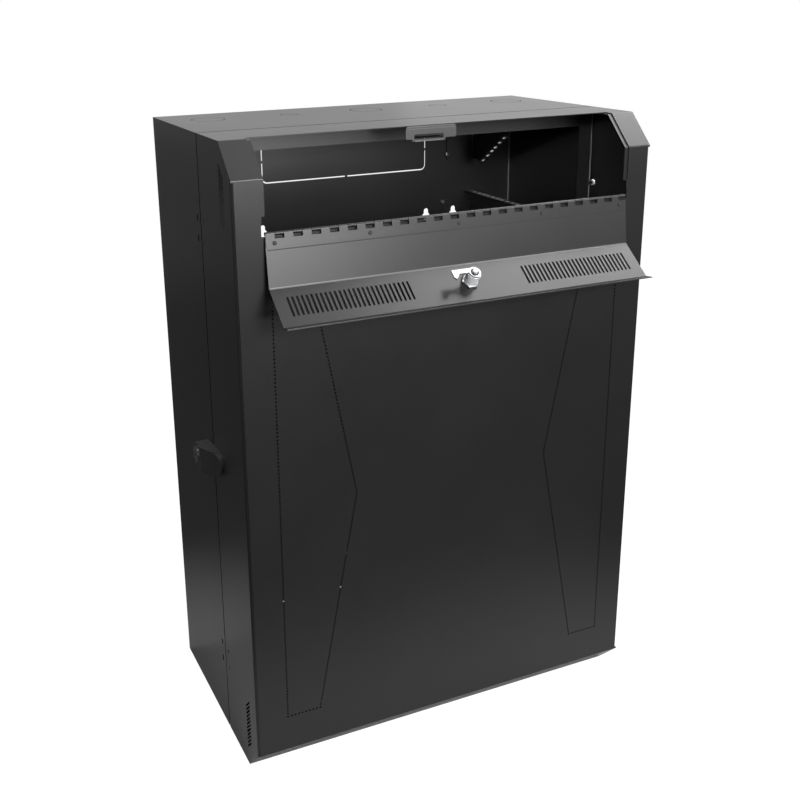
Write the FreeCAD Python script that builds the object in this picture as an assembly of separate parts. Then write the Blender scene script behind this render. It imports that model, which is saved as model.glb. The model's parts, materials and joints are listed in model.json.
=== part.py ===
import FreeCAD, Part
import math
import os

# Low-profile wall mount network cabinet: a wall half fixed to the wall, a front half that swings
# on vertical hinges at its right side, and a piano-hinged access flap over its top front edge.
# Units are millimetres. The origin is the middle of the wall face: +X is right as seen from the
# front, +Y points into the wall, +Z is up. The flap is drawn shut and then swung to its rest pose.

# ---- driving dimensions -------------------------------------------------------------------

# Overall box
CABINET_WIDTH = 635.0
CABINET_HEIGHT = 928.0
CABINET_DEPTH = 371.0
WALL_HALF_DEPTH = 229.0
SPLIT_GAP = 3.0
CHAMFER = 44.0
WALL_HALF_SHEET = 2.0
DOOR_SHEET = 1.2
BEND_RADIUS = 2.6
SIDE_BEND_RADIUS = 3.6
SIDE_SEAM_FROM_EDGE = 3.2
SIDE_FLANGE = 14.0

# Angle ring in the mouth of the wall half
RING_SHEET = 1.5
RING_FLANGE = 26.0
RING_OVERLAP = 7.0
RING_LEG = 28.0
RING_BEND_RADIUS = 3.0

# Back panel
BOLT_HOLE_FROM_SIDE = 167.5
BOLT_HOLE_FROM_END = 24.0
BOLT_HOLE_DIAMETER = 9.0
KEYHOLE_WIDE_SPACING_X = 406.4
KEYHOLE_NARROW_SPACING_X = 300.0
KEYHOLE_FROM_END = 198.0
KEYHOLE_HEAD_DIAMETER = 16.0
KEYHOLE_NECK_DIAMETER = 9.0
KEYHOLE_RISE = 10.5
CABLE_KNOCKOUT_FROM_SIDE = 169.5
CABLE_KNOCKOUT_HEIGHT = 70.0
CABLE_KNOCKOUT_TO_EDGE = 46.0
CABLE_KNOCKOUT_CORNER = 9.0
CABLE_KNOCKOUT_SLIT = 2.0
KNOCKOUT_TAB = 4.0

# Round conduit knock-outs in the top and the bottom
CONDUIT_LARGE_DIAMETER = 50.0
CONDUIT_SMALL_DIAMETER = 28.0
CONDUIT_FROM_SIDE = 62.5
CONDUIT_TO_WALL = 81.0
CONDUIT_GAP = 0.5
CONDUIT_TAB = 2.5

# Equipment rails and patch panel brackets, on the 19-inch hole grid
RACK_HOLE_SPACING = 465.1
RACK_UNIT_HEIGHT = 44.45
RACK_HOLE_PITCH = 15.875
RACK_HOLE_DIAMETER = 6.0
RACK_HOLE_FROM_EDGE = 7.55
RAIL_UNITS = 6
RAIL_SHEET = 2.0
RAIL_FLANGE = 16.0
RAIL_BELOW_TOP = 158.0
RAIL_BACK_END = 19.0
RAIL_ROOT_HEIGHT = 78.0
RAIL_TIP_HEIGHT = 22.0
RAIL_TOP_CORNER = 3.0
RAIL_TIP_CORNER = 8.0
BRACKET_UNITS = 2
BRACKET_SLOPE = 35.0
BRACKET_FOOT_BELOW_TOP = 103.0
BRACKET_FOOT_DEPTH = 47.0
BRACKET_HEAD_BELOW_TOP = 23.0
RAIL_TAB_WIDTH = 60.0
RAIL_TAB_BELOW_FLANGE = 12.0
RAIL_TAB_WINDOW = 22.0
BRACKET_TAB_WIDTH = 52.5
SCREW_FROM_TAB_END = 11.0
RAIL_SCREW_FROM_TAB_END = 4.0
SCREW_DIAMETER = 4.0
SCREW_HEAD_DIAMETER = 7.0
SCREW_HEAD_HEIGHT = 2.2

# Door hinges, at the right side and bolted through both halves
HINGE_FROM_END = 130.5
HINGE_BOLT_PITCH = 29.0
HINGE_BOLT_FROM_SPLIT = 15.0
HINGE_LEAF_HEIGHT = 54.0
HINGE_LEAF_REACH = 24.0
HINGE_LEAF_SHEET = 2.0
HINGE_LEAF_CORNER = 6.0
HINGE_KNUCKLE_DIAMETER = 8.0
HINGE_STAND_OFF = 0.5
HINGE_PIN_DIAMETER = 4.0
HINGE_KNUCKLE_GAP = 0.4
HINGE_BOLT_DIAMETER = 5.0
HINGE_BOLT_HEAD_DIAMETER = 9.0
HINGE_BOLT_HEAD_HEIGHT = 2.6
HINGE_BOLT_TAIL = 6.0
HINGE_NUT_ACROSS_FLATS = 8.0
HINGE_NUT_HEIGHT = 4.0
NUT_CROWN_SHARE = 0.94
BOLT_END_CHAMFER = 0.6
SPARE_HOLE_LENGTH = 10.0

# Vent slots in the door's sides: a column of slanted slots above each chamfer
SIDE_SLOT_COUNT = 12
SIDE_SLOT_PITCH = 6.4
SIDE_SLOT_LENGTH = 24.0
SIDE_SLOT_WIDTH = 3.0
SIDE_SLOT_FROM_FRONT = 40.0
SIDE_SLOT_FROM_END = 38.0

# Flap opening and flap
CHEEK_WIDTH = 37.0
TOP_STRIP_SETBACK = 59.0
HINGE_LINE_BELOW_TOP = 114.0
FLAP_SHEET = 1.2
FLAP_SIDE_GAP = 3.5
FLAP_EDGE_GAP = 6.6
FLAP_LIP_GAP = 1.0
FLAP_OPEN_ANGLE = 173.0
FLAP_STOP_GAP = 0.6
FLAP_STOP_OVERLAP = 6.0
FLAP_STOP_WIDTH = 16.0
FLAP_STOP_ABOVE_HINGE = 22.0

# Vent slots in the flap: two groups on its slanting face
FLAP_SLOT_COUNT = 27
FLAP_SLOT_PITCH = 6.5
FLAP_SLOT_LENGTH = 31.0
FLAP_SLOT_WIDTH = 3.2
FLAP_SLOT_GROUP_FROM_EDGE = 103.8

# Piano hinge between the door and the flap
PIANO_KNUCKLE_DIAMETER = 5.2
PIANO_PIN_DIAMETER = 2.2
PIANO_KNUCKLE_COUNT = 44
PIANO_END_GAP = 0.5
PIANO_NOTCH_DEPTH = 6.2
PIANO_LEAF_CORNER = 2.0
PIANO_KNUCKLE_GAP = 0.5
PIANO_LEAF_SHEET = 1.0
PIANO_LEAF_WIDTH = 17.0
PIANO_AXIS_PROUD = 0.6
PIANO_EDGE_GAP = 3.4
PIANO_RIVET_COUNT = 5
PIANO_RIVET_FROM_END = 11.5
PIANO_RIVET_FROM_AXIS = 12.0
RIVET_SHANK_DIAMETER = 3.2
RIVET_HEAD_DIAMETER = 5.6
RIVET_HEAD_HEIGHT = 1.2
RUNNING_FIT = 0.05

# Cam lock in the middle of the flap's slanting face, and its strike
CAM_BARREL_DIAMETER = 19.0
CAM_BARREL_REACH = 20.6
CAM_BEZEL_DIAMETER = 23.0
CAM_BEZEL_HEIGHT = 1.8
CAM_NUT_ACROSS_FLATS = 22.0
CAM_NUT_HEIGHT = 5.0
CAM_PLUG_DIAMETER = 12.0
CAM_SHEET = 2.5
CAM_LENGTH = 33.0
CAM_LOBE_DIAMETER = 17.0
CAM_ARM_WIDTH = 7.0
CAM_HOOK_WIDTH = 8.5
CAM_HOOK_DEPTH = 15.0
CAM_END_GAP = 0.2
CAM_HOLE_CLEARANCE = 0.15
CAM_ARM_OFFSET = 0.5
CAM_CORNER = 1.5
CAM_HOOK_CORNER = 1.0
CAM_HOOK_TAPER = 3.0
CAM_SCREW_HEAD_DIAMETER = 10.0
CAM_SCREW_HEAD_HEIGHT = 3.2
CAM_SCREW_DIAMETER = 5.0
STRIKE_LEFT = 48.0
STRIKE_RIGHT = 30.0
STRIKE_DEPTH = 18.5
STRIKE_SHEET = 1.2
STRIKE_SLOT_LEFT = 35.0
STRIKE_SLOT_RIGHT = 10.0
STRIKE_SLOT_MARGIN = 0.9
STRIKE_TONGUE = 3.0
STRIKE_LIP = 1.5
STRIKE_CORNER = 4.0

# Side lock: a housing on the door's left side that reaches over the split
LOCK_HOUSING_PROUD = 22.0
LOCK_HOUSING_TOE = 4.0
LOCK_HOUSING_HEIGHT = 37.0
LOCK_TOE_FROM_SPLIT = 46.0
LOCK_SHOULDER_FROM_SPLIT = 3.0
LOCK_KEY_FROM_SPLIT = 16.0
LOCK_HOUSING_CLEARANCE = 0.6
LOCK_SHOULDER_RADIUS = 10.0
LOCK_EDGE_RADIUS = 1.5
LOCK_RING_DIAMETER = 25.0
LOCK_RING_HEIGHT = 1.2
LOCK_PLUG_DIAMETER = 15.0
LOCK_PLUG_DEPTH = 8.0
LOCK_BOLT_DIAMETER = 9.0
LOCK_BOLT_LENGTH = 12.0
LOCK_BOLT_THROW = 8.0
LOCK_BOLT_HOLE_CLEARANCE = 1.0
KEY_SLOT_LENGTH = 7.0
KEY_SLOT_WIDTH = 1.6
KEY_SLOT_DEPTH = 3.0

# ---- places worked out from the dimensions ------------------------------------------------

SIDE_X = CABINET_WIDTH / 2
TOP_Z = CABINET_HEIGHT / 2
FRONT_Y = -CABINET_DEPTH
MOUTH_Y = -WALL_HALF_DEPTH
DOOR_BACK_Y = MOUTH_Y - SPLIT_GAP
SPLIT_Y = (MOUTH_Y + DOOR_BACK_Y) / 2
CHAMFER_START_Z = TOP_Z - CHAMFER
CHAMFER_END_Y = FRONT_Y + CHAMFER
OPENING_X = SIDE_X - CHEEK_WIDTH
STRIP_EDGE_Y = FRONT_Y + TOP_STRIP_SETBACK
HINGE_Y = FRONT_Y - PIANO_AXIS_PROUD
HINGE_Z = TOP_Z - HINGE_LINE_BELOW_TOP
FLAP_X = OPENING_X - FLAP_SIDE_GAP
RING_FRONT_Y = DOOR_BACK_Y - RING_OVERLAP
MITRE = math.tan(math.radians(22.5))
RACK_EDGE_X = RACK_HOLE_SPACING / 2 - RACK_HOLE_FROM_EDGE
RAIL_TOP_Z = TOP_Z - RAIL_BELOW_TOP
BRACKET_FOOT_Z = TOP_Z - BRACKET_FOOT_BELOW_TOP
BRACKET_HEAD_Z = TOP_Z - BRACKET_HEAD_BELOW_TOP
DOOR_HINGE_Z = TOP_Z - HINGE_FROM_END
PIANO_LEAF_X = FLAP_X - PIANO_END_GAP
PIANO_KNUCKLE_PITCH = (2 * PIANO_LEAF_X + PIANO_KNUCKLE_GAP) / PIANO_KNUCKLE_COUNT
X_AXIS = FreeCAD.Vector(1, 0, 0)
Y_AXIS = FreeCAD.Vector(0, 1, 0)
Z_AXIS = FreeCAD.Vector(0, 0, 1)


# ---- shared building blocks ---------------------------------------------------------------

def box(x_range, y_range, z_range):
    """A box between two limits on each axis."""
    x0, x1 = sorted(x_range)
    y0, y1 = sorted(y_range)
    z0, z1 = sorted(z_range)
    return Part.makeBox(x1 - x0, y1 - y0, z1 - z0, FreeCAD.Vector(x0, y0, z0))


def rod(diameter, start, end):
    """A round bar between two points."""
    first = FreeCAD.Vector(*start)
    along = FreeCAD.Vector(*end) - first
    return Part.makeCylinder(diameter / 2, along.Length, first, along)


def join(shapes):
    """One solid from shapes that overlap or touch."""
    shapes = list(shapes)
    return shapes[0].multiFuse(shapes[1:]).removeSplitter() if len(shapes) > 1 else shapes[0]


def group(shapes):
    """Separate solids kept together in one node."""
    return Part.makeCompound([solid for shape in shapes for solid in shape.Solids])


def corner_path(corners, radii):
    """A closed wire through corner points, each rounded to its own radius."""
    count = len(corners)
    edges = []
    ends = []
    for index in range(count):
        before = corners[index - 1]
        here = corners[index]
        after = corners[(index + 1) % count]
        radius = radii[index]
        if radius <= 0:
            ends.append((here, here))
            continue
        to_before = (before - here).normalize()
        to_after = (after - here).normalize()
        half_angle = to_before.getAngle(to_after) / 2
        setback = radius / math.tan(half_angle)
        start = here + to_before * setback
        end = here + to_after * setback
        inward = (to_before + to_after).normalize()
        centre = here + inward * (radius / math.sin(half_angle))
        middle = centre - inward * radius
        edges.append(Part.Arc(start, middle, end).toShape())
        ends.append((start, end))
    for index in range(count):
        start = ends[index][1]
        end = ends[(index + 1) % count][0]
        if (end - start).Length > 1e-6:
            edges.append(Part.LineSegment(start, end).toShape())
    return Part.Wire(Part.__sortEdges__(edges))


def plate_yz(outline, x_range, radii=None):
    """A plate with an outline in the Y-Z plane, between two X limits."""
    x0, x1 = sorted(x_range)
    corners = [FreeCAD.Vector(x0, y, z) for y, z in outline]
    wire = corner_path(corners, radii or [0] * len(corners))
    return Part.Face(wire).extrude(FreeCAD.Vector(x1 - x0, 0, 0))


def plate_xz(outline, y_range, radii=None):
    """A plate with an outline in the X-Z plane, between two Y limits."""
    y0, y1 = sorted(y_range)
    corners = [FreeCAD.Vector(x, y0, z) for x, z in outline]
    wire = corner_path(corners, radii or [0] * len(corners))
    return Part.Face(wire).extrude(FreeCAD.Vector(0, y1 - y0, 0))


def plate_xy(outline, z_range, radii=None):
    """A plate with an outline in the X-Y plane, between two Z limits."""
    z0, z1 = sorted(z_range)
    corners = [FreeCAD.Vector(x, y, z0) for x, y in outline]
    wire = corner_path(corners, radii or [0] * len(corners))
    return Part.Face(wire).extrude(FreeCAD.Vector(0, 0, z1 - z0))


def rectangle(low, high):
    """The corners of a rectangle, in order."""
    return [(low[0], low[1]), (high[0], low[1]), (high[0], high[1]), (low[0], high[1])]


def slot_bar(width, length, depth):
    """A round-ended bar along Z, centred on the origin, length along Y."""
    half = (length - width) / 2
    radius = width / 2
    corners = [FreeCAD.Vector(x, y, -depth / 2)
               for x, y in rectangle((-radius, -half - radius), (radius, half + radius))]
    wire = corner_path(corners, [radius * 0.999] * 4)
    return Part.Face(wire).extrude(FreeCAD.Vector(0, 0, depth))


def hexagon_bar(across_flats, height):
    """A hexagonal nut blank standing on the origin along Z, with the corners of both ends crowned."""
    radius = across_flats / math.sqrt(3)
    corners = [FreeCAD.Vector(radius * math.cos(math.radians(60 * k)),
                              radius * math.sin(math.radians(60 * k)), 0) for k in range(6)]
    face = Part.Face(Part.makePolygon(corners + corners[:1]))
    crown = NUT_CROWN_SHARE * across_flats / 2
    drop = (radius - crown) * math.tan(math.radians(30))
    outline = [(0, 0), (crown, 0), (radius, drop), (radius, height - drop), (crown, height), (0, height)]
    points = [FreeCAD.Vector(x, 0, z) for x, z in outline]
    blank = Part.Face(Part.makePolygon(points + points[:1])).revolve(FreeCAD.Vector(), Z_AXIS, 360)
    return face.extrude(FreeCAD.Vector(0, 0, height)).common(blank)


def along_x(shape, direction, place):
    """Lay a shape drawn along Z onto the X axis, pointing +X or -X, at a place."""
    laid = shape.copy()
    laid.rotate(FreeCAD.Vector(), Y_AXIS, 90 * direction)
    laid.translate(FreeCAD.Vector(*place))
    return laid


def mirrored(shape):
    """The same shape on the other side of the cabinet."""
    return shape.mirror(FreeCAD.Vector(), X_AXIS)


def front_line(inset, low_z, end_y):
    """The line of the upper front, inset from the outside: up the front, the chamfer, the top."""
    return [(FRONT_Y + inset, low_z),
            (FRONT_Y + inset, CHAMFER_START_Z - inset * MITRE),
            (CHAMFER_END_Y + inset * MITRE, TOP_Z - inset),
            (end_y, TOP_Z - inset)]


def bent_strip(inset, sheet, low_z, end_y, x_range):
    """A sheet bent along the upper front line."""
    outer = front_line(inset, low_z, end_y)
    inner = front_line(inset + sheet, low_z, end_y)
    radii = [0, BEND_RADIUS, BEND_RADIUS, 0, 0, BEND_RADIUS - sheet, BEND_RADIUS - sheet, 0]
    return plate_yz(outer + inner[::-1], x_range, radii)


# ---- wall half ----------------------------------------------------------------------------

def keyhole(x, z):
    """A keyhole: a round head below a narrow neck."""
    y_range = (-WALL_HALF_SHEET * 2, WALL_HALF_SHEET)
    head = rod(KEYHOLE_HEAD_DIAMETER, (x, y_range[0], z), (x, y_range[1], z))
    neck_top = z + KEYHOLE_RISE
    neck = rod(KEYHOLE_NECK_DIAMETER, (x, y_range[0], neck_top), (x, y_range[1], neck_top))
    half = KEYHOLE_NECK_DIAMETER / 2
    return join([head, neck, box((x - half, x + half), y_range, (z, neck_top))])


def cable_knockout_slit(middle_z):
    """The slit round a cable knock-out, broken by tabs in the middle of its four sides."""
    y_range = (-WALL_HALF_SHEET * 2, WALL_HALF_SHEET)
    half_x = SIDE_X - CABLE_KNOCKOUT_FROM_SIDE
    half_z = CABLE_KNOCKOUT_HEIGHT / 2
    slit = CABLE_KNOCKOUT_SLIT
    outer = plate_xz(rectangle((-half_x, middle_z - half_z), (half_x, middle_z + half_z)),
                     y_range, [CABLE_KNOCKOUT_CORNER] * 4)
    inner = plate_xz(rectangle((-half_x + slit, middle_z - half_z + slit),
                               (half_x - slit, middle_z + half_z - slit)),
                     y_range, [CABLE_KNOCKOUT_CORNER - slit] * 4)
    half_tab = KNOCKOUT_TAB / 2
    upright_tab = box((-half_tab, half_tab), y_range,
                      (middle_z - half_z - slit, middle_z + half_z + slit))
    level_tab = box((-half_x - slit, half_x + slit), y_range,
                    (middle_z - half_tab, middle_z + half_tab))
    return outer.cut(inner).cut(upright_tab).cut(level_tab)


def mount_screw_places():
    """X and Z of the screws in the edge notches of the rail and bracket tabs, on both sides."""
    web_x = RACK_EDGE_X + RAIL_FLANGE
    rail_x = web_x - RAIL_TAB_WIDTH
    bracket_x = web_x - BRACKET_TAB_WIDTH
    rail_z = [RAIL_TOP_Z - RAIL_TAB_BELOW_FLANGE - RAIL_SCREW_FROM_TAB_END,
              RAIL_TOP_Z - RAIL_ROOT_HEIGHT + SCREW_FROM_TAB_END]
    bracket_z = [BRACKET_FOOT_Z + SCREW_FROM_TAB_END, BRACKET_HEAD_Z - SCREW_FROM_TAB_END]
    places = [(rail_x, z) for z in rail_z] + [(bracket_x, z) for z in bracket_z]
    return [(side * x, z) for side in (-1, 1) for x, z in places]


def make_back_panel():
    half_x = SIDE_X - WALL_HALF_SHEET
    half_z = TOP_Z - WALL_HALF_SHEET
    panel = box((-half_x, half_x), (-WALL_HALF_SHEET, 0), (-half_z, half_z))
    through = (-WALL_HALF_SHEET * 2, WALL_HALF_SHEET)
    cuts = []
    for side_x in (-1, 1):
        for side_z in (-1, 1):
            x = side_x * (SIDE_X - BOLT_HOLE_FROM_SIDE)
            z = side_z * (TOP_Z - BOLT_HOLE_FROM_END)
            cuts.append(rod(BOLT_HOLE_DIAMETER, (x, through[0], z), (x, through[1], z)))
            for spacing in (KEYHOLE_WIDE_SPACING_X, KEYHOLE_NARROW_SPACING_X):
                cuts.append(keyhole(side_x * spacing / 2, side_z * (TOP_Z - KEYHOLE_FROM_END)))
    for x, z in mount_screw_places():
        cuts.append(rod(SCREW_DIAMETER, (x, through[0], z), (x, through[1], z)))
    knockout_z = TOP_Z - CABLE_KNOCKOUT_TO_EDGE - CABLE_KNOCKOUT_HEIGHT / 2
    cuts += [cable_knockout_slit(knockout_z), cable_knockout_slit(-knockout_z)]
    return panel.cut(cuts)


def hinge_bolt_heights():
    """Z of every door hinge bolt."""
    return [side * DOOR_HINGE_Z + step * HINGE_BOLT_PITCH / 2
            for side in (-1, 1) for step in (-1, 1)]


def side_holes(x_range, y, length):
    """Hinge bolt holes through a side, round or lengthened along Z."""
    holes = []
    for z in hinge_bolt_heights():
        bar = slot_bar(HINGE_BOLT_DIAMETER, length, abs(x_range[1] - x_range[0]))
        bar.rotate(FreeCAD.Vector(), Z_AXIS, 90)
        bar.rotate(FreeCAD.Vector(), Y_AXIS, 90)
        bar.translate(FreeCAD.Vector(sum(x_range) / 2, y, z))
        holes.append(bar)
    return holes


def round_side_holes(x_range, y):
    """Round hinge bolt holes through a side."""
    return [rod(HINGE_BOLT_DIAMETER, (x_range[0], y, z), (x_range[1], y, z))
            for z in hinge_bolt_heights()]


def make_rear_side(side):
    """A side sheet of the wall half; the left one has the spare hinge slots and the bolt hole."""
    outer = side * SIDE_X
    inner = side * (SIDE_X - WALL_HALF_SHEET)
    sheet = box((outer, inner), (MOUTH_Y, 0), (-TOP_Z, TOP_Z))
    bolt_y = SPLIT_Y + HINGE_BOLT_FROM_SPLIT
    reach = (outer - side * 3 * WALL_HALF_SHEET, outer + side * WALL_HALF_SHEET)
    if side > 0:
        return sheet.cut(round_side_holes(reach, bolt_y))
    return sheet.cut(side_holes(reach, bolt_y, SPARE_HOLE_LENGTH) + [lock_bolt_hole(reach)])


def lock_bolt_hole(x_range):
    """The hole that the side lock's bolt shoots through."""
    y = SPLIT_Y + LOCK_KEY_FROM_SPLIT
    return rod(LOCK_BOLT_DIAMETER + 2 * LOCK_BOLT_HOLE_CLEARANCE, (x_range[0], y, 0),
               (x_range[1], y, 0))


def conduit_places():
    """X and diameter of the five conduit knock-outs in a row, large and small in turn."""
    pitch = (SIDE_X - CONDUIT_FROM_SIDE) / 2
    return [(step * pitch, CONDUIT_LARGE_DIAMETER if step % 2 == 0
             else CONDUIT_SMALL_DIAMETER) for step in range(-2, 3)]


def make_rear_cover(direction):
    """The top (+1) or the bottom (-1) sheet of the wall half."""
    half_x = SIDE_X - WALL_HALF_SHEET
    outer = direction * TOP_Z
    inner = direction * (TOP_Z - WALL_HALF_SHEET)
    sheet = box((-half_x, half_x), (MOUTH_Y, 0), (outer, inner))
    holes = [rod(diameter, (x, -CONDUIT_TO_WALL, outer + direction),
                 (x, -CONDUIT_TO_WALL, inner - direction)) for x, diameter in conduit_places()]
    return sheet.cut(holes)


def make_knockouts(direction):
    """Discs in the conduit holes, each held by two tabs."""
    outer = direction * TOP_Z
    inner = direction * (TOP_Z - WALL_HALF_SHEET)
    discs = []
    for x, diameter in conduit_places():
        start = (x, -CONDUIT_TO_WALL, outer)
        end = (x, -CONDUIT_TO_WALL, inner)
        disc = rod(diameter - 2 * CONDUIT_GAP, start, end)
        hole = rod(diameter, start, end)
        tab = box((x - diameter, x + diameter),
                  (-CONDUIT_TO_WALL - CONDUIT_TAB / 2, -CONDUIT_TO_WALL + CONDUIT_TAB / 2),
                  (outer, inner))
        discs.append(join([disc, tab.common(hole)]))
    return group(discs)


def rounded_front_box(half_x, half_z, y_range, radius):
    """A box with its four front edges rounded."""
    block = box((-half_x, half_x), y_range, (-half_z, half_z))
    front = [edge for edge in block.Edges
             if all(abs(corner.Point.y - y_range[0]) < 1e-6 for corner in edge.Vertexes)]
    return block.makeFillet(radius, front)


def make_flange_ring():
    """An angle ring: a leg inside the wall half's mouth and a flange turned in at its front."""
    outer_x = SIDE_X - WALL_HALF_SHEET
    outer_z = TOP_Z - WALL_HALF_SHEET
    leg_end = RING_FRONT_Y + RING_LEG
    outer = rounded_front_box(outer_x, outer_z, (RING_FRONT_Y, leg_end), RING_BEND_RADIUS)
    inner = rounded_front_box(outer_x - RING_SHEET, outer_z - RING_SHEET,
                              (RING_FRONT_Y + RING_SHEET, leg_end + 1),
                              RING_BEND_RADIUS - RING_SHEET)
    mouth = plate_xz(rectangle((-outer_x + RING_FLANGE, -outer_z + RING_FLANGE),
                               (outer_x - RING_FLANGE, outer_z - RING_FLANGE)),
                     (RING_FRONT_Y - 1, leg_end + 1), [3.0] * 4)
    ring = outer.cut(inner).cut(mouth)
    bolt_y = SPLIT_Y + HINGE_BOLT_FROM_SPLIT
    reach = (outer_x + 1, outer_x - 3 * RING_SHEET)
    left_reach = (-reach[0], -reach[1])
    return ring.cut(round_side_holes(reach, bolt_y) + [lock_bolt_hole(left_reach)]
                    + side_holes(left_reach, bolt_y, SPARE_HOLE_LENGTH))


def rack_hole_steps(units):
    """Distances of the rack holes along a rail: three in each rack unit."""
    first = (RACK_UNIT_HEIGHT - 2 * RACK_HOLE_PITCH) / 2
    return [unit * RACK_UNIT_HEIGHT + first + step * RACK_HOLE_PITCH
            for unit in range(units) for step in range(3)]


def make_rail():
    """The right-hand 6U rail: a level flange on a tapering web, with a tab on the back panel."""
    flange_x = (RACK_EDGE_X, RACK_EDGE_X + RAIL_FLANGE)
    web_x = (flange_x[1] - RAIL_SHEET, flange_x[1])
    back_y = -WALL_HALF_SHEET
    length = RAIL_UNITS * RACK_UNIT_HEIGHT
    tip_y = -RAIL_BACK_END - length - RAIL_SHEET
    top_z = RAIL_TOP_Z
    flange = box(flange_x, (tip_y, back_y), (top_z - RAIL_SHEET, top_z))
    web = plate_yz([(back_y, top_z), (tip_y, top_z), (tip_y, top_z - RAIL_TIP_HEIGHT),
                    (back_y, top_z - RAIL_ROOT_HEIGHT)], web_x, [0, RAIL_TOP_CORNER, RAIL_TIP_CORNER, 0])
    tab = box((web_x[1] - RAIL_TAB_WIDTH, web_x[1]), (back_y - RAIL_SHEET, back_y),
              (top_z - RAIL_ROOT_HEIGHT, top_z - RAIL_TAB_BELOW_FLANGE))
    keyhole_x = KEYHOLE_WIDE_SPACING_X / 2
    keyhole_z = TOP_Z - KEYHOLE_FROM_END
    half = RAIL_TAB_WINDOW / 2
    window = plate_xz(rectangle((keyhole_x - half, keyhole_z - half),
                                (keyhole_x + half, keyhole_z + half + KEYHOLE_RISE / 2)),
                      (back_y - RAIL_SHEET, back_y), [half / 2] * 4)
    tab = tab.cut(window)
    holes = [rod(RACK_HOLE_DIAMETER, (RACK_HOLE_SPACING / 2, -RAIL_BACK_END - step, top_z + 1),
                 (RACK_HOLE_SPACING / 2, -RAIL_BACK_END - step, top_z - RAIL_SHEET - 1))
             for step in rack_hole_steps(RAIL_UNITS)]
    return join([flange, web, tab]).cut(holes + mount_screw_shanks())


def make_patch_bracket():
    """The right-hand 2U bracket: a web with a sloping flange and a tab on the back panel."""
    flange_x = (RACK_EDGE_X, RACK_EDGE_X + RAIL_FLANGE)
    web_x = (flange_x[1] - RAIL_SHEET, flange_x[1])
    back_y = -WALL_HALF_SHEET
    foot_z = BRACKET_FOOT_Z
    top_z = BRACKET_HEAD_Z
    length = BRACKET_UNITS * RACK_UNIT_HEIGHT
    slope = math.radians(BRACKET_SLOPE)
    heel_y = -BRACKET_FOOT_DEPTH
    tip = (heel_y - length * math.cos(slope), foot_z + length * math.sin(slope))
    web = plate_yz([(back_y, foot_z), (heel_y, foot_z), tip, (tip[0], top_z), (back_y, top_z)],
                   web_x)
    flange = box(flange_x, (heel_y - length, heel_y), (foot_z, foot_z + RAIL_SHEET))
    holes = [rod(RACK_HOLE_DIAMETER, (RACK_HOLE_SPACING / 2, heel_y - step, foot_z - 1),
                 (RACK_HOLE_SPACING / 2, heel_y - step, foot_z + RAIL_SHEET + 1))
             for step in rack_hole_steps(BRACKET_UNITS)]
    flange = flange.cut(holes)
    flange.rotate(FreeCAD.Vector(0, heel_y, foot_z), X_AXIS, -BRACKET_SLOPE)
    tab = box((web_x[1] - BRACKET_TAB_WIDTH, web_x[1]), (back_y - RAIL_SHEET, back_y),
              (foot_z, top_z))
    return join([web, flange, tab]).cut(mount_screw_shanks())


def mount_screw_shanks():
    """Screw shanks through the rail and bracket tabs and the back panel."""
    return [rod(SCREW_DIAMETER, (x, -WALL_HALF_SHEET - RAIL_SHEET * 2, z), (x, 0, z))
            for x, z in mount_screw_places()]


def dome(diameter, height, base):
    """A pan head drawn along Z from the height base, with its upper edge rounded."""
    head = Part.makeCylinder(diameter / 2, height, FreeCAD.Vector(0, 0, base))
    rim = [edge for edge in head.Edges
           if abs(edge.CenterOfMass.z - base - height) < 1e-6 and edge.Closed]
    return head.makeFillet(height * 0.6, rim)


def make_mount_screws():
    """Pan head screws, heads inside the cabinet and ends flush with the wall face."""
    screws = []
    head_y = -WALL_HALF_SHEET - RAIL_SHEET
    for x, z in mount_screw_places():
        head = dome(SCREW_HEAD_DIAMETER, SCREW_HEAD_HEIGHT, 0)
        head.rotate(FreeCAD.Vector(), X_AXIS, 90)
        head.translate(FreeCAD.Vector(x, head_y, z))
        screws.append(join([head, rod(SCREW_DIAMETER, (x, head_y, z), (x, 0, z))]))
    return group(screws)


# ---- door hinges --------------------------------------------------------------------------

HINGE_X = SIDE_X + HINGE_KNUCKLE_DIAMETER / 2 + HINGE_STAND_OFF


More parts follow.
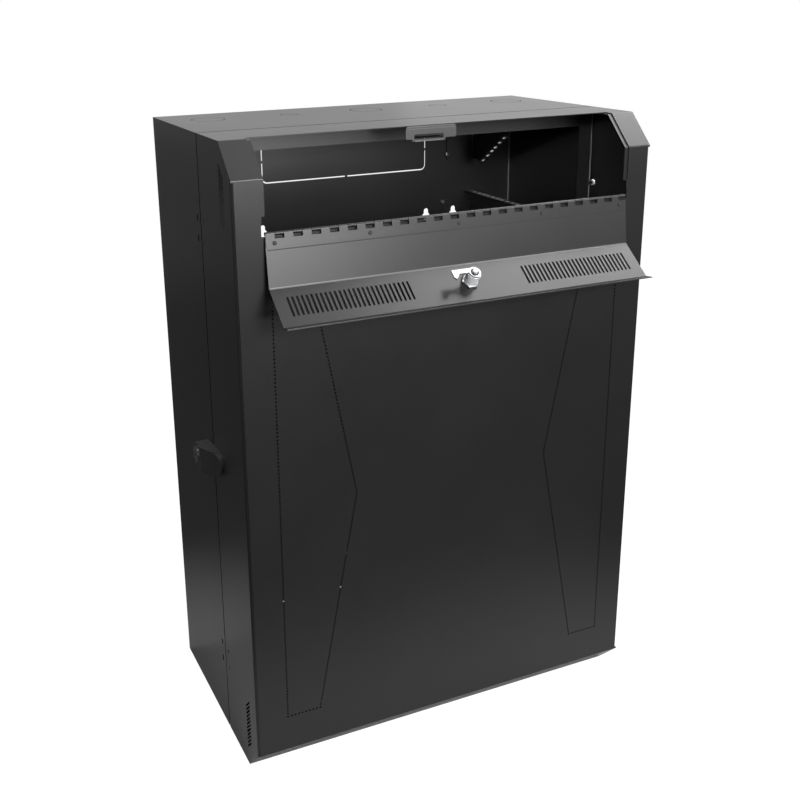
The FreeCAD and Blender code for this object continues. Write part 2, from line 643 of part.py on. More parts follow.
def make_hinge_leaf(middle_z, half):
    """A door hinge leaf: the frame's (+1) has two knuckles and the pin, the door's (-1) one."""
    root_y = SPLIT_Y + half * (HINGE_KNUCKLE_DIAMETER / 2 + HINGE_KNUCKLE_GAP)
    end_y = SPLIT_Y + half * HINGE_LEAF_REACH
    low = middle_z - HINGE_LEAF_HEIGHT / 2
    third = HINGE_LEAF_HEIGHT / 3
    spans = [(low, low + third), (low + 2 * third, low + 3 * third)] if half > 0 else [
        (low + third + HINGE_KNUCKLE_GAP, low + 2 * third - HINGE_KNUCKLE_GAP)]
    leaf_x = (SIDE_X, SIDE_X + HINGE_LEAF_SHEET)
    corners = [0, HINGE_LEAF_CORNER, HINGE_LEAF_CORNER, 0]
    solids = [plate_yz(rectangle((min(root_y, end_y), low), (max(root_y, end_y), low + 3 * third)),
                       leaf_x, corners if half > 0 else corners[2:] + corners[:2])]
    bore = rod(HINGE_PIN_DIAMETER + (0 if half > 0 else 2 * RUNNING_FIT),
               (HINGE_X, SPLIT_Y, low - 1), (HINGE_X, SPLIT_Y, low + 3 * third + 1))
    for z0, z1 in spans:
        solids.append(rod(HINGE_KNUCKLE_DIAMETER, (HINGE_X, SPLIT_Y, z0), (HINGE_X, SPLIT_Y, z1)))
        solids.append(box((SIDE_X + HINGE_STAND_OFF, SIDE_X + HINGE_LEAF_SHEET),
                          (SPLIT_Y, root_y + half), (z0, z1)))
    leaf = join(solids).cut(bore)
    bolt_y = SPLIT_Y + half * HINGE_BOLT_FROM_SPLIT
    leaf = leaf.cut(round_side_holes((SIDE_X - 1, SIDE_X + 2 * HINGE_LEAF_SHEET), bolt_y))
    if half > 0:
        pin = rod(HINGE_PIN_DIAMETER, (HINGE_X, SPLIT_Y, low), (HINGE_X, SPLIT_Y, low + 3 * third))
        return join([leaf, pin])
    return leaf


def make_hinge_bolts(half, inside_x):
    """Button head bolts outside the leaves, with their ends standing out of the nuts inside."""
    bolts = []
    y = SPLIT_Y + half * HINGE_BOLT_FROM_SPLIT
    head_x = SIDE_X + HINGE_LEAF_SHEET
    end_x = inside_x - HINGE_NUT_HEIGHT - HINGE_BOLT_TAIL
    for z in hinge_bolt_heights():
        head = along_x(dome(HINGE_BOLT_HEAD_DIAMETER, HINGE_BOLT_HEAD_HEIGHT, 0), 1, (head_x, y, z))
        shank = rod(HINGE_BOLT_DIAMETER, (head_x, y, z), (end_x, y, z))
        tip = Part.makeCone(HINGE_BOLT_DIAMETER / 2, HINGE_BOLT_DIAMETER / 2 - BOLT_END_CHAMFER,
                            BOLT_END_CHAMFER, FreeCAD.Vector(end_x, y, z), -X_AXIS)
        bolts.append(join([head, shank, tip]))
    return group(bolts)


def make_hinge_nuts(half, inside_x):
    """Hexagon nuts on the hinge bolts, inside the sheet."""
    nuts = []
    y = SPLIT_Y + half * HINGE_BOLT_FROM_SPLIT
    for z in hinge_bolt_heights():
        nut = hexagon_bar(HINGE_NUT_ACROSS_FLATS, HINGE_NUT_HEIGHT)
        bore = rod(HINGE_BOLT_DIAMETER, (0, 0, -1), (0, 0, HINGE_NUT_HEIGHT + 1))
        nuts.append(along_x(nut.cut(bore), -1, (inside_x, y, z)))
    return group(nuts)


# ---- front half ---------------------------------------------------------------------------

def make_door_shell():
    """One bent sheet: bottom, lower chamfer, front, upper chamfer and top strip, less the flap."""
    def profile(inset):
        upper = front_line(inset, 0, DOOR_BACK_Y)[1:]
        lower = [(y, -z) for y, z in upper[::-1]]
        return lower + upper
    outer = profile(0)
    inner = profile(DOOR_SHEET)
    bends = [0, BEND_RADIUS, BEND_RADIUS, BEND_RADIUS, BEND_RADIUS, 0]
    tight = [0] + [BEND_RADIUS - DOOR_SHEET] * 4 + [0]
    shell = plate_yz(outer + inner[::-1], (-SIDE_X, SIDE_X), bends + tight)
    opening = box((-OPENING_X, OPENING_X), (FRONT_Y - 1, STRIP_EDGE_Y),
                  (HINGE_Z - PIANO_EDGE_GAP, TOP_Z + 1))
    sheet_y = (FRONT_Y - 1, FRONT_Y + 2 * DOOR_SHEET)
    seam_x = SIDE_X - SIDE_SEAM_FROM_EDGE
    seam_z = CHAMFER_START_Z - BEND_RADIUS
    corners = [box((side * seam_x, side * (SIDE_X + 1)), (FRONT_Y - 1, FRONT_Y + DOOR_SHEET),
                   (-seam_z, seam_z)) for side in (-1, 1)]
    rivets = [rod(RIVET_SHANK_DIAMETER, (x, sheet_y[0], HINGE_Z - PIANO_RIVET_FROM_AXIS),
                  (x, sheet_y[1], HINGE_Z - PIANO_RIVET_FROM_AXIS)) for x in rivet_places()]
    return shell.cut([opening] + corners + rivets)


def side_vent_slots(x):
    """Slanted slots above the lower chamfer and below the upper one, rising to the front."""
    slots = []
    for end in (-1, 1):
        for index in range(SIDE_SLOT_COUNT):
            bar = slot_bar(SIDE_SLOT_WIDTH, SIDE_SLOT_LENGTH, 4 * DOOR_SHEET)
            bar.rotate(FreeCAD.Vector(), Y_AXIS, 90)
            bar.rotate(FreeCAD.Vector(), X_AXIS, 45 * end)
            z = end * (TOP_Z - SIDE_SLOT_FROM_END - index * SIDE_SLOT_PITCH)
            bar.translate(FreeCAD.Vector(x, FRONT_Y + SIDE_SLOT_FROM_FRONT, z))
            slots.append(bar)
    return slots


def make_door_side(side):
    """A side sheet of the door, turned in at its front to a flange behind the front sheet."""
    inset = DOOR_SHEET
    upper = [(FRONT_Y + inset, CHAMFER_START_Z - inset * MITRE),
             (CHAMFER_END_Y + inset * MITRE, TOP_Z - inset), (DOOR_BACK_Y, TOP_Z - inset)]
    lower = [(y, -z) for y, z in upper[::-1]]
    front = FRONT_Y + DOOR_SHEET
    flange_x = SIDE_X - SIDE_BEND_RADIUS - SIDE_FLANGE
    section = [(SIDE_X, DOOR_BACK_Y), (SIDE_X, front), (flange_x, front),
               (flange_x, front + DOOR_SHEET), (SIDE_X - DOOR_SHEET, front + DOOR_SHEET),
               (SIDE_X - DOOR_SHEET, DOOR_BACK_Y)]
    bends = [0, SIDE_BEND_RADIUS, 0, 0, SIDE_BEND_RADIUS - DOOR_SHEET, 0]
    folded = plate_xy([(side * x, y) for x, y in section], (-TOP_Z, TOP_Z), bends)
    sheet = folded.common(plate_yz(lower + upper, (-SIDE_X, SIDE_X)))
    bolt_y = SPLIT_Y - HINGE_BOLT_FROM_SPLIT
    reach = (side * (SIDE_X + 1), side * (SIDE_X - 2 * DOOR_SHEET))
    return sheet.cut(round_side_holes(reach, bolt_y) + side_vent_slots(side * SIDE_X))


def make_flap_stop():
    """The right-hand stop: a strip welded behind the cheek, set back where the flap lies on it."""
    low_z = HINGE_Z + FLAP_STOP_ABOVE_HINGE
    seat_x = (OPENING_X - FLAP_STOP_OVERLAP, OPENING_X + 2 * DOOR_SHEET)
    weld_x = (OPENING_X + DOOR_SHEET, OPENING_X - FLAP_STOP_OVERLAP + FLAP_STOP_WIDTH)
    end_y = STRIP_EDGE_Y - FLAP_STOP_GAP
    weld = bent_strip(DOOR_SHEET, DOOR_SHEET, low_z, end_y, weld_x)
    seat = bent_strip(DOOR_SHEET + FLAP_STOP_GAP, DOOR_SHEET, low_z, end_y, seat_x)
    return join([weld, seat])


def cam_crossing_z(y):
    """Height of the middle of the locked cam where it crosses a Y plane."""
    middle = CAM_BARREL_REACH + CAM_END_GAP + CAM_SHEET / 2
    return CHAMFER_START_Z + (y - FRONT_Y) - middle * math.sqrt(2)


def make_flap_strike():
    """A tab below the top strip's front edge, with a slot for the cam and a lip under the slot."""
    top_z = TOP_Z - DOOR_SHEET
    low_z = TOP_Z - STRIKE_DEPTH
    y_range = (STRIP_EDGE_Y, STRIP_EDGE_Y + STRIKE_SHEET)
    half = CAM_SHEET / math.sqrt(2) + STRIKE_SLOT_MARGIN
    slot_z = (cam_crossing_z(y_range[0]) - half, cam_crossing_z(y_range[1]) + half)
    tongue_z = slot_z[0] - STRIKE_TONGUE
    tab = plate_xz(rectangle((-STRIKE_LEFT, low_z), (STRIKE_RIGHT, top_z)), y_range,
                   [STRIKE_CORNER / 2, STRIKE_CORNER / 2, STRIKE_CORNER, STRIKE_CORNER])
    slot_x = (-STRIKE_SLOT_LEFT, STRIKE_SLOT_RIGHT)
    tongue = box((slot_x[0] - STRIKE_TONGUE, slot_x[1] + STRIKE_TONGUE), y_range,
                 (tongue_z, low_z + STRIKE_TONGUE))
    lip = box(slot_x, (y_range[0] - STRIKE_LIP, y_range[1]), (tongue_z, tongue_z + STRIKE_SHEET))
    slot = box(slot_x, (y_range[0] - 1, y_range[1] + 1), slot_z)
    return join([tab.fuse(tongue).cut(slot), lip])


# ---- piano hinge --------------------------------------------------------------------------

def rivet_places():
    """X of the piano hinge rivets."""
    end_x = PIANO_LEAF_X - PIANO_RIVET_FROM_END
    pitch = 2 * end_x / (PIANO_RIVET_COUNT - 1)
    return [index * pitch - end_x for index in range(PIANO_RIVET_COUNT)]


def knuckle_spans(moving):
    """X limits of the fixed or the moving knuckles, which take turns along the hinge."""
    first = 0 if moving else 1
    return [(index * PIANO_KNUCKLE_PITCH - PIANO_LEAF_X,
             (index + 1) * PIANO_KNUCKLE_PITCH - PIANO_LEAF_X - PIANO_KNUCKLE_GAP)
            for index in range(first, PIANO_KNUCKLE_COUNT, 2)]


def make_piano_leaf(moving):
    """A piano hinge leaf behind its sheet; the moving one is drawn with the flap shut."""
    up = 1 if moving else -1
    sheet = FLAP_SHEET if moving else DOOR_SHEET
    leaf_y = (FRONT_Y + sheet, FRONT_Y + sheet + PIANO_LEAF_SHEET)
    notch_z = HINGE_Z + up * PIANO_NOTCH_DEPTH
    edge_z = HINGE_Z + up * PIANO_LEAF_WIDTH
    leaf = plate_xz([(-PIANO_LEAF_X, notch_z), (PIANO_LEAF_X, notch_z), (PIANO_LEAF_X, edge_z),
                     (-PIANO_LEAF_X, edge_z)], leaf_y, [0, 0, PIANO_LEAF_CORNER, PIANO_LEAF_CORNER])
    parts = [leaf]
    clearance = 2 * RUNNING_FIT if moving else 0
    for x0, x1 in knuckle_spans(moving):
        parts.append(rod(PIANO_KNUCKLE_DIAMETER, (x0, HINGE_Y, HINGE_Z), (x1, HINGE_Y, HINGE_Z)))
        parts.append(box((x0, x1), leaf_y, (HINGE_Z, notch_z + up * DOOR_SHEET)))
    bore = rod(PIANO_PIN_DIAMETER + clearance, (-SIDE_X, HINGE_Y, HINGE_Z),
               (SIDE_X, HINGE_Y, HINGE_Z))
    rivet_z = HINGE_Z + up * PIANO_RIVET_FROM_AXIS
    holes = [rod(RIVET_SHANK_DIAMETER, (x, leaf_y[0] - 1, rivet_z), (x, leaf_y[1] + 1, rivet_z))
             for x in rivet_places()]
    return join(parts).cut([bore] + holes)


def make_piano_pin():
    """The pin through all the knuckles."""
    return rod(PIANO_PIN_DIAMETER, (-PIANO_LEAF_X, HINGE_Y, HINGE_Z),
               (PIANO_LEAF_X, HINGE_Y, HINGE_Z))


def make_rivets(moving):
    """Rivets flush outside, with domed heads on the leaf."""
    up = 1 if moving else -1
    sheet = FLAP_SHEET if moving else DOOR_SHEET
    head_y = FRONT_Y + sheet + PIANO_LEAF_SHEET
    rivets = []
    for x in rivet_places():
        z = HINGE_Z + up * PIANO_RIVET_FROM_AXIS
        head = dome(RIVET_HEAD_DIAMETER, RIVET_HEAD_HEIGHT, 0)
        head.rotate(FreeCAD.Vector(), X_AXIS, -90)
        head.translate(FreeCAD.Vector(x, head_y, z))
        rivets.append(join([head, rod(RIVET_SHANK_DIAMETER, (x, FRONT_Y, z), (x, head_y, z))]))
    return group(rivets)


# ---- flap ---------------------------------------------------------------------------------

def swing_open(shape):
    """Swing a piece drawn with the flap shut to the open rest pose."""
    opened = shape.copy()
    opened.rotate(FreeCAD.Vector(0, HINGE_Y, HINGE_Z), X_AXIS, FLAP_OPEN_ANGLE)
    return opened


def place_on_chamfer(shape, x=0.0):
    """Place a shape drawn on the X-Y plane onto the chamfer's outside, with its Z going inward."""
    placed = shape.copy()
    placed.rotate(FreeCAD.Vector(), X_AXIS, -135)
    placed.translate(FreeCAD.Vector(x, FRONT_Y + CHAMFER / 2, TOP_Z - CHAMFER / 2))
    return placed


def make_flap_panel():
    """The flap: front, chamfer and lip, with two groups of vent slots and the lock's hole."""
    panel = bent_strip(0, FLAP_SHEET, HINGE_Z + FLAP_EDGE_GAP, STRIP_EDGE_Y - FLAP_LIP_GAP,
                       (-FLAP_X, FLAP_X))
    middle = (FLAP_SLOT_COUNT - 1) / 2
    group_x = FLAP_X - FLAP_SLOT_GROUP_FROM_EDGE
    cuts = [place_on_chamfer(slot_bar(FLAP_SLOT_WIDTH, FLAP_SLOT_LENGTH, 6 * FLAP_SHEET),
                             side * group_x + (index - middle) * FLAP_SLOT_PITCH)
            for side in (-1, 1) for index in range(FLAP_SLOT_COUNT)]
    lock_hole = rod(CAM_BARREL_DIAMETER + 2 * CAM_HOLE_CLEARANCE, (0, 0, -1), (0, 0, 3 * FLAP_SHEET))
    cuts.append(place_on_chamfer(lock_hole))
    rivet_z = HINGE_Z + PIANO_RIVET_FROM_AXIS
    cuts += [rod(RIVET_SHANK_DIAMETER, (x, FRONT_Y - 1, rivet_z),
                 (x, FRONT_Y + 2 * FLAP_SHEET, rivet_z)) for x in rivet_places()]
    return swing_open(panel.cut(cuts))


def place_on_flap(shape):
    """Place a lock piece on the chamfer of the open flap."""
    return swing_open(place_on_chamfer(shape))


def make_flap_lock_barrel():
    """The lock's round body with its bezel outside and a bore for the key plug."""
    body = rod(CAM_BARREL_DIAMETER, (0, 0, 0), (0, 0, CAM_BARREL_REACH))
    bezel = rod(CAM_BEZEL_DIAMETER, (0, 0, -CAM_BEZEL_HEIGHT), (0, 0, 0))
    bore = rod(CAM_PLUG_DIAMETER + 4 * RUNNING_FIT, (0, 0, -CAM_BEZEL_HEIGHT - 1),
               (0, 0, CAM_BARREL_REACH + 1))
    return place_on_flap(join([body, bezel]).cut(bore))


def make_flap_lock_nut():
    """The hexagon nut that clamps the barrel to the flap."""
    nut = hexagon_bar(CAM_NUT_ACROSS_FLATS, CAM_NUT_HEIGHT)
    bore = rod(CAM_BARREL_DIAMETER + 2 * CAM_HOLE_CLEARANCE, (0, 0, -1), (0, 0, CAM_NUT_HEIGHT + 1))
    nut = nut.cut(bore)
    nut.translate(FreeCAD.Vector(0, 0, FLAP_SHEET))
    return place_on_flap(nut)


def make_cam_hook():
    """The hooked cam: its arm points left when unlocked, and up when turned a quarter."""
    outer_y = CAM_ARM_OFFSET + CAM_ARM_WIDTH
    hook_y = outer_y - CAM_HOOK_DEPTH
    inner_x = CAM_HOOK_WIDTH - CAM_LENGTH
    corners = [(0, outer_y), (-CAM_LENGTH, outer_y), (-CAM_LENGTH, hook_y + CAM_HOOK_TAPER),
               (CAM_HOOK_TAPER - CAM_LENGTH, hook_y), (inner_x, hook_y + 2 * CAM_HOOK_TAPER),
               (inner_x, CAM_ARM_OFFSET), (0, CAM_ARM_OFFSET)]
    radii = [0, CAM_CORNER, CAM_HOOK_CORNER, CAM_HOOK_CORNER, CAM_HOOK_CORNER, CAM_CORNER, 0]
    low = CAM_BARREL_REACH + CAM_END_GAP
    arm = plate_xy(corners, (low, low + CAM_SHEET), radii)
    lobe = rod(CAM_LOBE_DIAMETER, (0, 0, low), (0, 0, low + CAM_SHEET))
    hole = rod(CAM_SCREW_DIAMETER, (0, 0, low - 1), (0, 0, low + CAM_SHEET + 1))
    return place_on_flap(join([arm, lobe]).cut(hole))


def make_cam_screw():
    """The screw that clamps the cam to the key plug."""
    low = CAM_BARREL_REACH + CAM_END_GAP
    shank = rod(CAM_SCREW_DIAMETER, (0, 0, low), (0, 0, low + CAM_SHEET))
    return place_on_flap(join([shank, dome(CAM_SCREW_HEAD_DIAMETER, CAM_SCREW_HEAD_HEIGHT,
                                           low + CAM_SHEET)]))


def key_slotted_plug(diameter, low, high):
    """A key plug along Z with a key slot in its low end."""
    plug = rod(diameter, (0, 0, low), (0, 0, high))
    half_width = KEY_SLOT_WIDTH / 2
    half_length = KEY_SLOT_LENGTH / 2
    return plug.cut(box((-half_width, half_width), (-half_length, half_length),
                        (low - 1, low + KEY_SLOT_DEPTH)))


def make_flap_key_plug():
    """The key plug in the flap's lock barrel, which turns the cam."""
    return place_on_flap(key_slotted_plug(CAM_PLUG_DIAMETER, -CAM_BEZEL_HEIGHT,
                                          CAM_BARREL_REACH + CAM_END_GAP))


# ---- side lock ----------------------------------------------------------------------------

LOCK_Y = SPLIT_Y + LOCK_KEY_FROM_SPLIT
LOCK_FACE_X = -SIDE_X - LOCK_HOUSING_PROUD
LOCK_PLUG_END_X = LOCK_FACE_X + LOCK_PLUG_DEPTH


def make_side_lock_housing():
    """A wedge-shaped housing on the door's side; its round end overhangs the wall half."""
    radius = LOCK_HOUSING_HEIGHT / 2
    toe_y = SPLIT_Y - LOCK_TOE_FROM_SPLIT
    end_y = LOCK_Y + radius
    outline = rectangle((toe_y, -radius), (end_y, radius))
    block = plate_yz(outline, (LOCK_FACE_X, -SIDE_X), [radius * 0.999] * 4)
    wedge = plate_xy([(-SIDE_X, toe_y), (-SIDE_X - LOCK_HOUSING_TOE, toe_y),
                      (LOCK_FACE_X, SPLIT_Y - LOCK_SHOULDER_FROM_SPLIT), (LOCK_FACE_X, end_y),
                      (-SIDE_X - LOCK_HOUSING_CLEARANCE, end_y),
                      (-SIDE_X - LOCK_HOUSING_CLEARANCE, DOOR_BACK_Y), (-SIDE_X, DOOR_BACK_Y)],
                     (-radius, radius),
                     [0, LOCK_EDGE_RADIUS, LOCK_SHOULDER_RADIUS, LOCK_EDGE_RADIUS, 0, 0, 0])
    clearance = 4 * RUNNING_FIT
    plug_bore = rod(LOCK_PLUG_DIAMETER + clearance, (LOCK_FACE_X - 1, LOCK_Y, 0),
                    (LOCK_PLUG_END_X + CAM_END_GAP, LOCK_Y, 0))
    bolt_bore = rod(LOCK_BOLT_DIAMETER + clearance, (LOCK_FACE_X, LOCK_Y, 0),
                    (-SIDE_X + 1, LOCK_Y, 0))
    return block.common(wedge).cut([plug_bore, bolt_bore])


def make_side_lock_ring():
    """The bright ring round the side lock's key plug."""
    ring = rod(LOCK_RING_DIAMETER, (LOCK_FACE_X, LOCK_Y, 0),
               (LOCK_FACE_X - LOCK_RING_HEIGHT, LOCK_Y, 0))
    return ring.cut(rod(LOCK_PLUG_DIAMETER + 4 * RUNNING_FIT, (LOCK_FACE_X + 1, LOCK_Y, 0),
                        (LOCK_FACE_X - 2 * LOCK_RING_HEIGHT, LOCK_Y, 0)))


def make_side_key_plug():
    """The side lock's key plug."""
    plug = key_slotted_plug(LOCK_PLUG_DIAMETER, -LOCK_RING_HEIGHT, LOCK_PLUG_DEPTH)
    return along_x(plug, 1, (LOCK_FACE_X, LOCK_Y, 0))


def make_side_lock_bolt():
    """The bolt behind the key plug, drawn back; it shoots into the wall half's side."""
    end_x = -SIDE_X - LOCK_HOUSING_CLEARANCE
    return rod(LOCK_BOLT_DIAMETER, (end_x - LOCK_BOLT_LENGTH, LOCK_Y, 0), (end_x, LOCK_Y, 0))


# ---- all pieces ---------------------------------------------------------------------------

FRAME_INSIDE_X = SIDE_X - WALL_HALF_SHEET - RING_SHEET
DOOR_INSIDE_X = SIDE_X - DOOR_SHEET
HINGE_MIDDLES = {"lower": -DOOR_HINGE_Z, "upper": DOOR_HINGE_Z}


def make_pieces():
    """Every piece of the cabinet by its name."""
    rail = make_rail()
    bracket = make_patch_bracket()
    stop = make_flap_stop()
    pieces = {
        "back_panel": make_back_panel(),
        "rear_side_left": make_rear_side(-1),
        "rear_side_right": make_rear_side(1),
        "rear_top": make_rear_cover(1),
        "rear_bottom": make_rear_cover(-1),
        "top_knockouts": make_knockouts(1),
        "bottom_knockouts": make_knockouts(-1),
        "flange_ring": make_flange_ring(),
        "rail_right": rail,
        "rail_left": mirrored(rail),
        "patch_bracket_right": bracket,
        "patch_bracket_left": mirrored(bracket),
        "mount_screws": make_mount_screws(),
        "frame_hinge_bolts": make_hinge_bolts(1, FRAME_INSIDE_X),
        "frame_hinge_nuts": make_hinge_nuts(1, FRAME_INSIDE_X),
        "door_hinge_bolts": make_hinge_bolts(-1, DOOR_INSIDE_X),
        "door_hinge_nuts": make_hinge_nuts(-1, DOOR_INSIDE_X),
        "door_shell": make_door_shell(),
        "door_side_left": make_door_side(-1),
        "door_side_right": make_door_side(1),
        "flap_stop_right": stop,
        "flap_stop_left": mirrored(stop),
        "flap_strike": make_flap_strike(),
        "piano_leaf_fixed": make_piano_leaf(False),
        "piano_pin": make_piano_pin(),
        "piano_rivets_fixed": make_rivets(False),
        "flap_panel": make_flap_panel(),
        "piano_leaf_moving": swing_open(make_piano_leaf(True)),
        "piano_rivets_moving": swing_open(make_rivets(True)),
        "flap_lock_barrel": make_flap_lock_barrel(),
        "flap_lock_nut": make_flap_lock_nut(),
        "cam_hook": make_cam_hook(),
        "cam_screw": make_cam_screw(),
        "flap_key_plug": make_flap_key_plug(),
        "side_lock_housing": make_side_lock_housing(),
        "side_lock_ring": make_side_lock_ring(),
        "side_key_plug": make_side_key_plug(),
        "side_lock_bolt": make_side_lock_bolt(),
    }
    for level, middle_z in HINGE_MIDDLES.items():
        pieces["frame_hinge_leaf_" + level] = make_hinge_leaf(middle_z, 1)
        pieces["door_hinge_leaf_" + level] = make_hinge_leaf(middle_z, -1)
    return pieces


os.makedirs("parts", exist_ok=True)
for name, shape in make_pieces().items():
    solids = len(shape.Solids)
    print(name, "solids", solids, "valid", shape.isValid(), "volume", round(shape.Volume, 1))
    shape.exportStep("parts/" + name + ".step")
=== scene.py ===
import json
import math

import bpy
import bmesh
from mathutils import Matrix, Vector


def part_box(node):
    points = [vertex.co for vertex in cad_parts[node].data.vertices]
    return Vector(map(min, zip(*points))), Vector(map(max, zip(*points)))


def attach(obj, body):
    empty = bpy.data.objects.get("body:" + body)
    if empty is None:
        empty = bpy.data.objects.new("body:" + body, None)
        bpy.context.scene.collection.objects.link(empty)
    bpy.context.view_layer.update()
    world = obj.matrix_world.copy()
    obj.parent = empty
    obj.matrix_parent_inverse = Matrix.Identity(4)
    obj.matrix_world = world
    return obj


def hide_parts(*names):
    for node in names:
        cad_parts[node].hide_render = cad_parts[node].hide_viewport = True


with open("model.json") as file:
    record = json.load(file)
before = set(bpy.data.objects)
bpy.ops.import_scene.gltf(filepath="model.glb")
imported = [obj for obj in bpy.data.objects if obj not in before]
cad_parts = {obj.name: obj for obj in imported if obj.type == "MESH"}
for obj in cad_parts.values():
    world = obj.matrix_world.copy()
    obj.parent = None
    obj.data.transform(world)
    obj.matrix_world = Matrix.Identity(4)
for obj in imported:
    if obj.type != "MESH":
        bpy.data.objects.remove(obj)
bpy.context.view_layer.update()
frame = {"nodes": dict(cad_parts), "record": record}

NODES = frame["nodes"]

# Every length is in metres, in the frame of the CAD.
SIDES = ((-1, "left"), (1, "right"))
DOOR_SHEET = 0.0012
WALL_SHEET = 0.002
# Points closer than this count as being in the same plane or on the same circle.
SAME_PLACE = 2e-5
X_AXIS = Vector((1, 0, 0))
Z_AXIS = Vector((0, 0, 1))

# ---- shader nodes ----------------------------------------------------------------------------


class Nodes:
    """Adds and links nodes in one shader tree."""

    def __init__(self, tree):
        """Start with an empty tree."""
        self.tree = tree
        tree.nodes.clear()

    def add(self, kind, **settings):
        """A new node with its settings."""
        node = self.tree.nodes.new(kind)
        for key, value in settings.items():
            setattr(node, key, value)
        return node

    def link(self, start, end):
        """Join an output to an input."""
        self.tree.links.new(start, end)

    def fill(self, socket, value):
        """Give a socket a link or a plain value."""
        if isinstance(value, bpy.types.NodeSocket):
            self.link(value, socket)
        else:
            socket.default_value = value

    def combine(self, operation, first, second):
        """A sum, product or maximum of two values."""
        node = self.add("ShaderNodeMath", operation=operation)
        self.fill(node.inputs[0], first)
        self.fill(node.inputs[1], second)
        return node.outputs["Value"]

    def vector(self, operation, first, second=None):
        """Vector maths on a socket, with a constant where the operation takes one."""
        node = self.add("ShaderNodeVectorMath", operation=operation)
        self.link(first, node.inputs[0])
        if second is not None:
            node.inputs[1].default_value = second
        return node.outputs["Value" if operation == "LENGTH" else "Vector"]

    def axis(self, vector, letter):
        """One part of a vector."""
        node = self.add("ShaderNodeSeparateXYZ")
        self.link(vector, node.inputs["Vector"])
        return node.outputs[letter]

    def spread(self, value, low, high, start=0.3, end=0.7):
        """A value stretched from start..end, where most noise lies, to low..high."""
        node = self.add("ShaderNodeMapRange")
        node.inputs["From Min"].default_value = start
        node.inputs["From Max"].default_value = end
        node.inputs["To Min"].default_value = low
        node.inputs["To Max"].default_value = high
        self.link(value, node.inputs["Value"])
        return node.outputs["Result"]

    def white(self, kind, strength):
        """A white emission or background shader."""
        node = self.add(kind)
        node.inputs["Color"].default_value = (1, 1, 1, 1)
        node.inputs["Strength"].default_value = strength
        return node.outputs[0]

    def mixed(self, share, first, second):
        """A mix of two shaders; where the share is 1, all of it is the second."""
        node = self.add("ShaderNodeMixShader")
        self.link(share, node.inputs["Fac"])
        self.link(first, node.inputs[1])
        self.link(second, node.inputs[2])
        return node.outputs["Shader"]


class MaterialNodes(Nodes):
    """The nodes of a new material, with one Principled shader."""

    def __init__(self, name):
        """Make the material, its shader and its output."""
        self.material = bpy.data.materials.new(name)
        self.material.use_nodes = True
        super().__init__(self.material.node_tree)
        self.output = self.add("ShaderNodeOutputMaterial")
        self.shader = self.add("ShaderNodeBsdfPrincipled")
        self.link(self.shader.outputs["BSDF"], self.output.inputs["Surface"])
        self.place = self.add("ShaderNodeTexCoord").outputs["Object"]

    def noise(self, scale, detail, roughness):
        """Noise over the object's own coordinates."""
        node = self.add("ShaderNodeTexNoise")
        node.inputs["Scale"].default_value = scale
        node.inputs["Detail"].default_value = detail
        node.inputs["Roughness"].default_value = roughness
        self.link(self.place, node.inputs["Vector"])
        return node.outputs["Fac"]

    def two_colours(self, value, first, second):
        """A blend of two colours by a value."""
        node = self.add("ShaderNodeMix", data_type="RGBA")
        node.inputs["A"].default_value = (*first, 1)
        node.inputs["B"].default_value = (*second, 1)
        self.link(value, node.inputs["Factor"])
        return node.outputs["Result"]

    def bump(self, height, strength, distance, below=None):
        """A bumped normal, on top of another one if there is one below."""
        node = self.add("ShaderNodeBump")
        node.inputs["Strength"].default_value = strength
        node.inputs["Distance"].default_value = distance
        self.link(height, node.inputs["Height"])
        if below:
            self.link(below, node.inputs["Normal"])
        return node.outputs["Normal"]

    def set(self, **values):
        """Fill sockets of the shader; an underscore in a name stands for a space."""
        for key, value in values.items():
            self.fill(self.shader.inputs[key.replace("_", " ")], value)


# ---- materials -------------------------------------------------------------------------------

# Powder coat: noise scales, how far each noise moves shade and gloss, and bump depths
GRAIN_SCALE = 1500.0
PEEL_SCALE = 420.0
CLOUD_SCALE = 9.0
SPECK_SCALE = 900.0
SPECK_RANGE = (0.42, 0.74)
CLOUD_SHADE = (0.2, 0.42)
PEEL_SHADE = (0.7, 1.0)
SPECK_SHADE = (0.32, 0.42)
CLOUD_GLOSS = (0.45, 0.55)
GRAIN_GLOSS = (-0.15, 0.15)
GRAIN_DEPTH = 0.00012
PEEL_DEPTH = 0.0003
PEEL_SHARE = 0.6

# Bare metal
METAL_TONE_SCALE = 0.25
METAL_SCRATCH_SCALE = 5
SCRATCH_GLOSS = (-0.2, 0.2)
SCRATCH_DEPTH = 0.00008

# Moulded plastic
SPARK_SCALE = 2200.0
SPARK_BUMP = 0.18
SPARK_DEPTH = 0.0001
PLASTIC_CLOUD_SCALE = 40.0


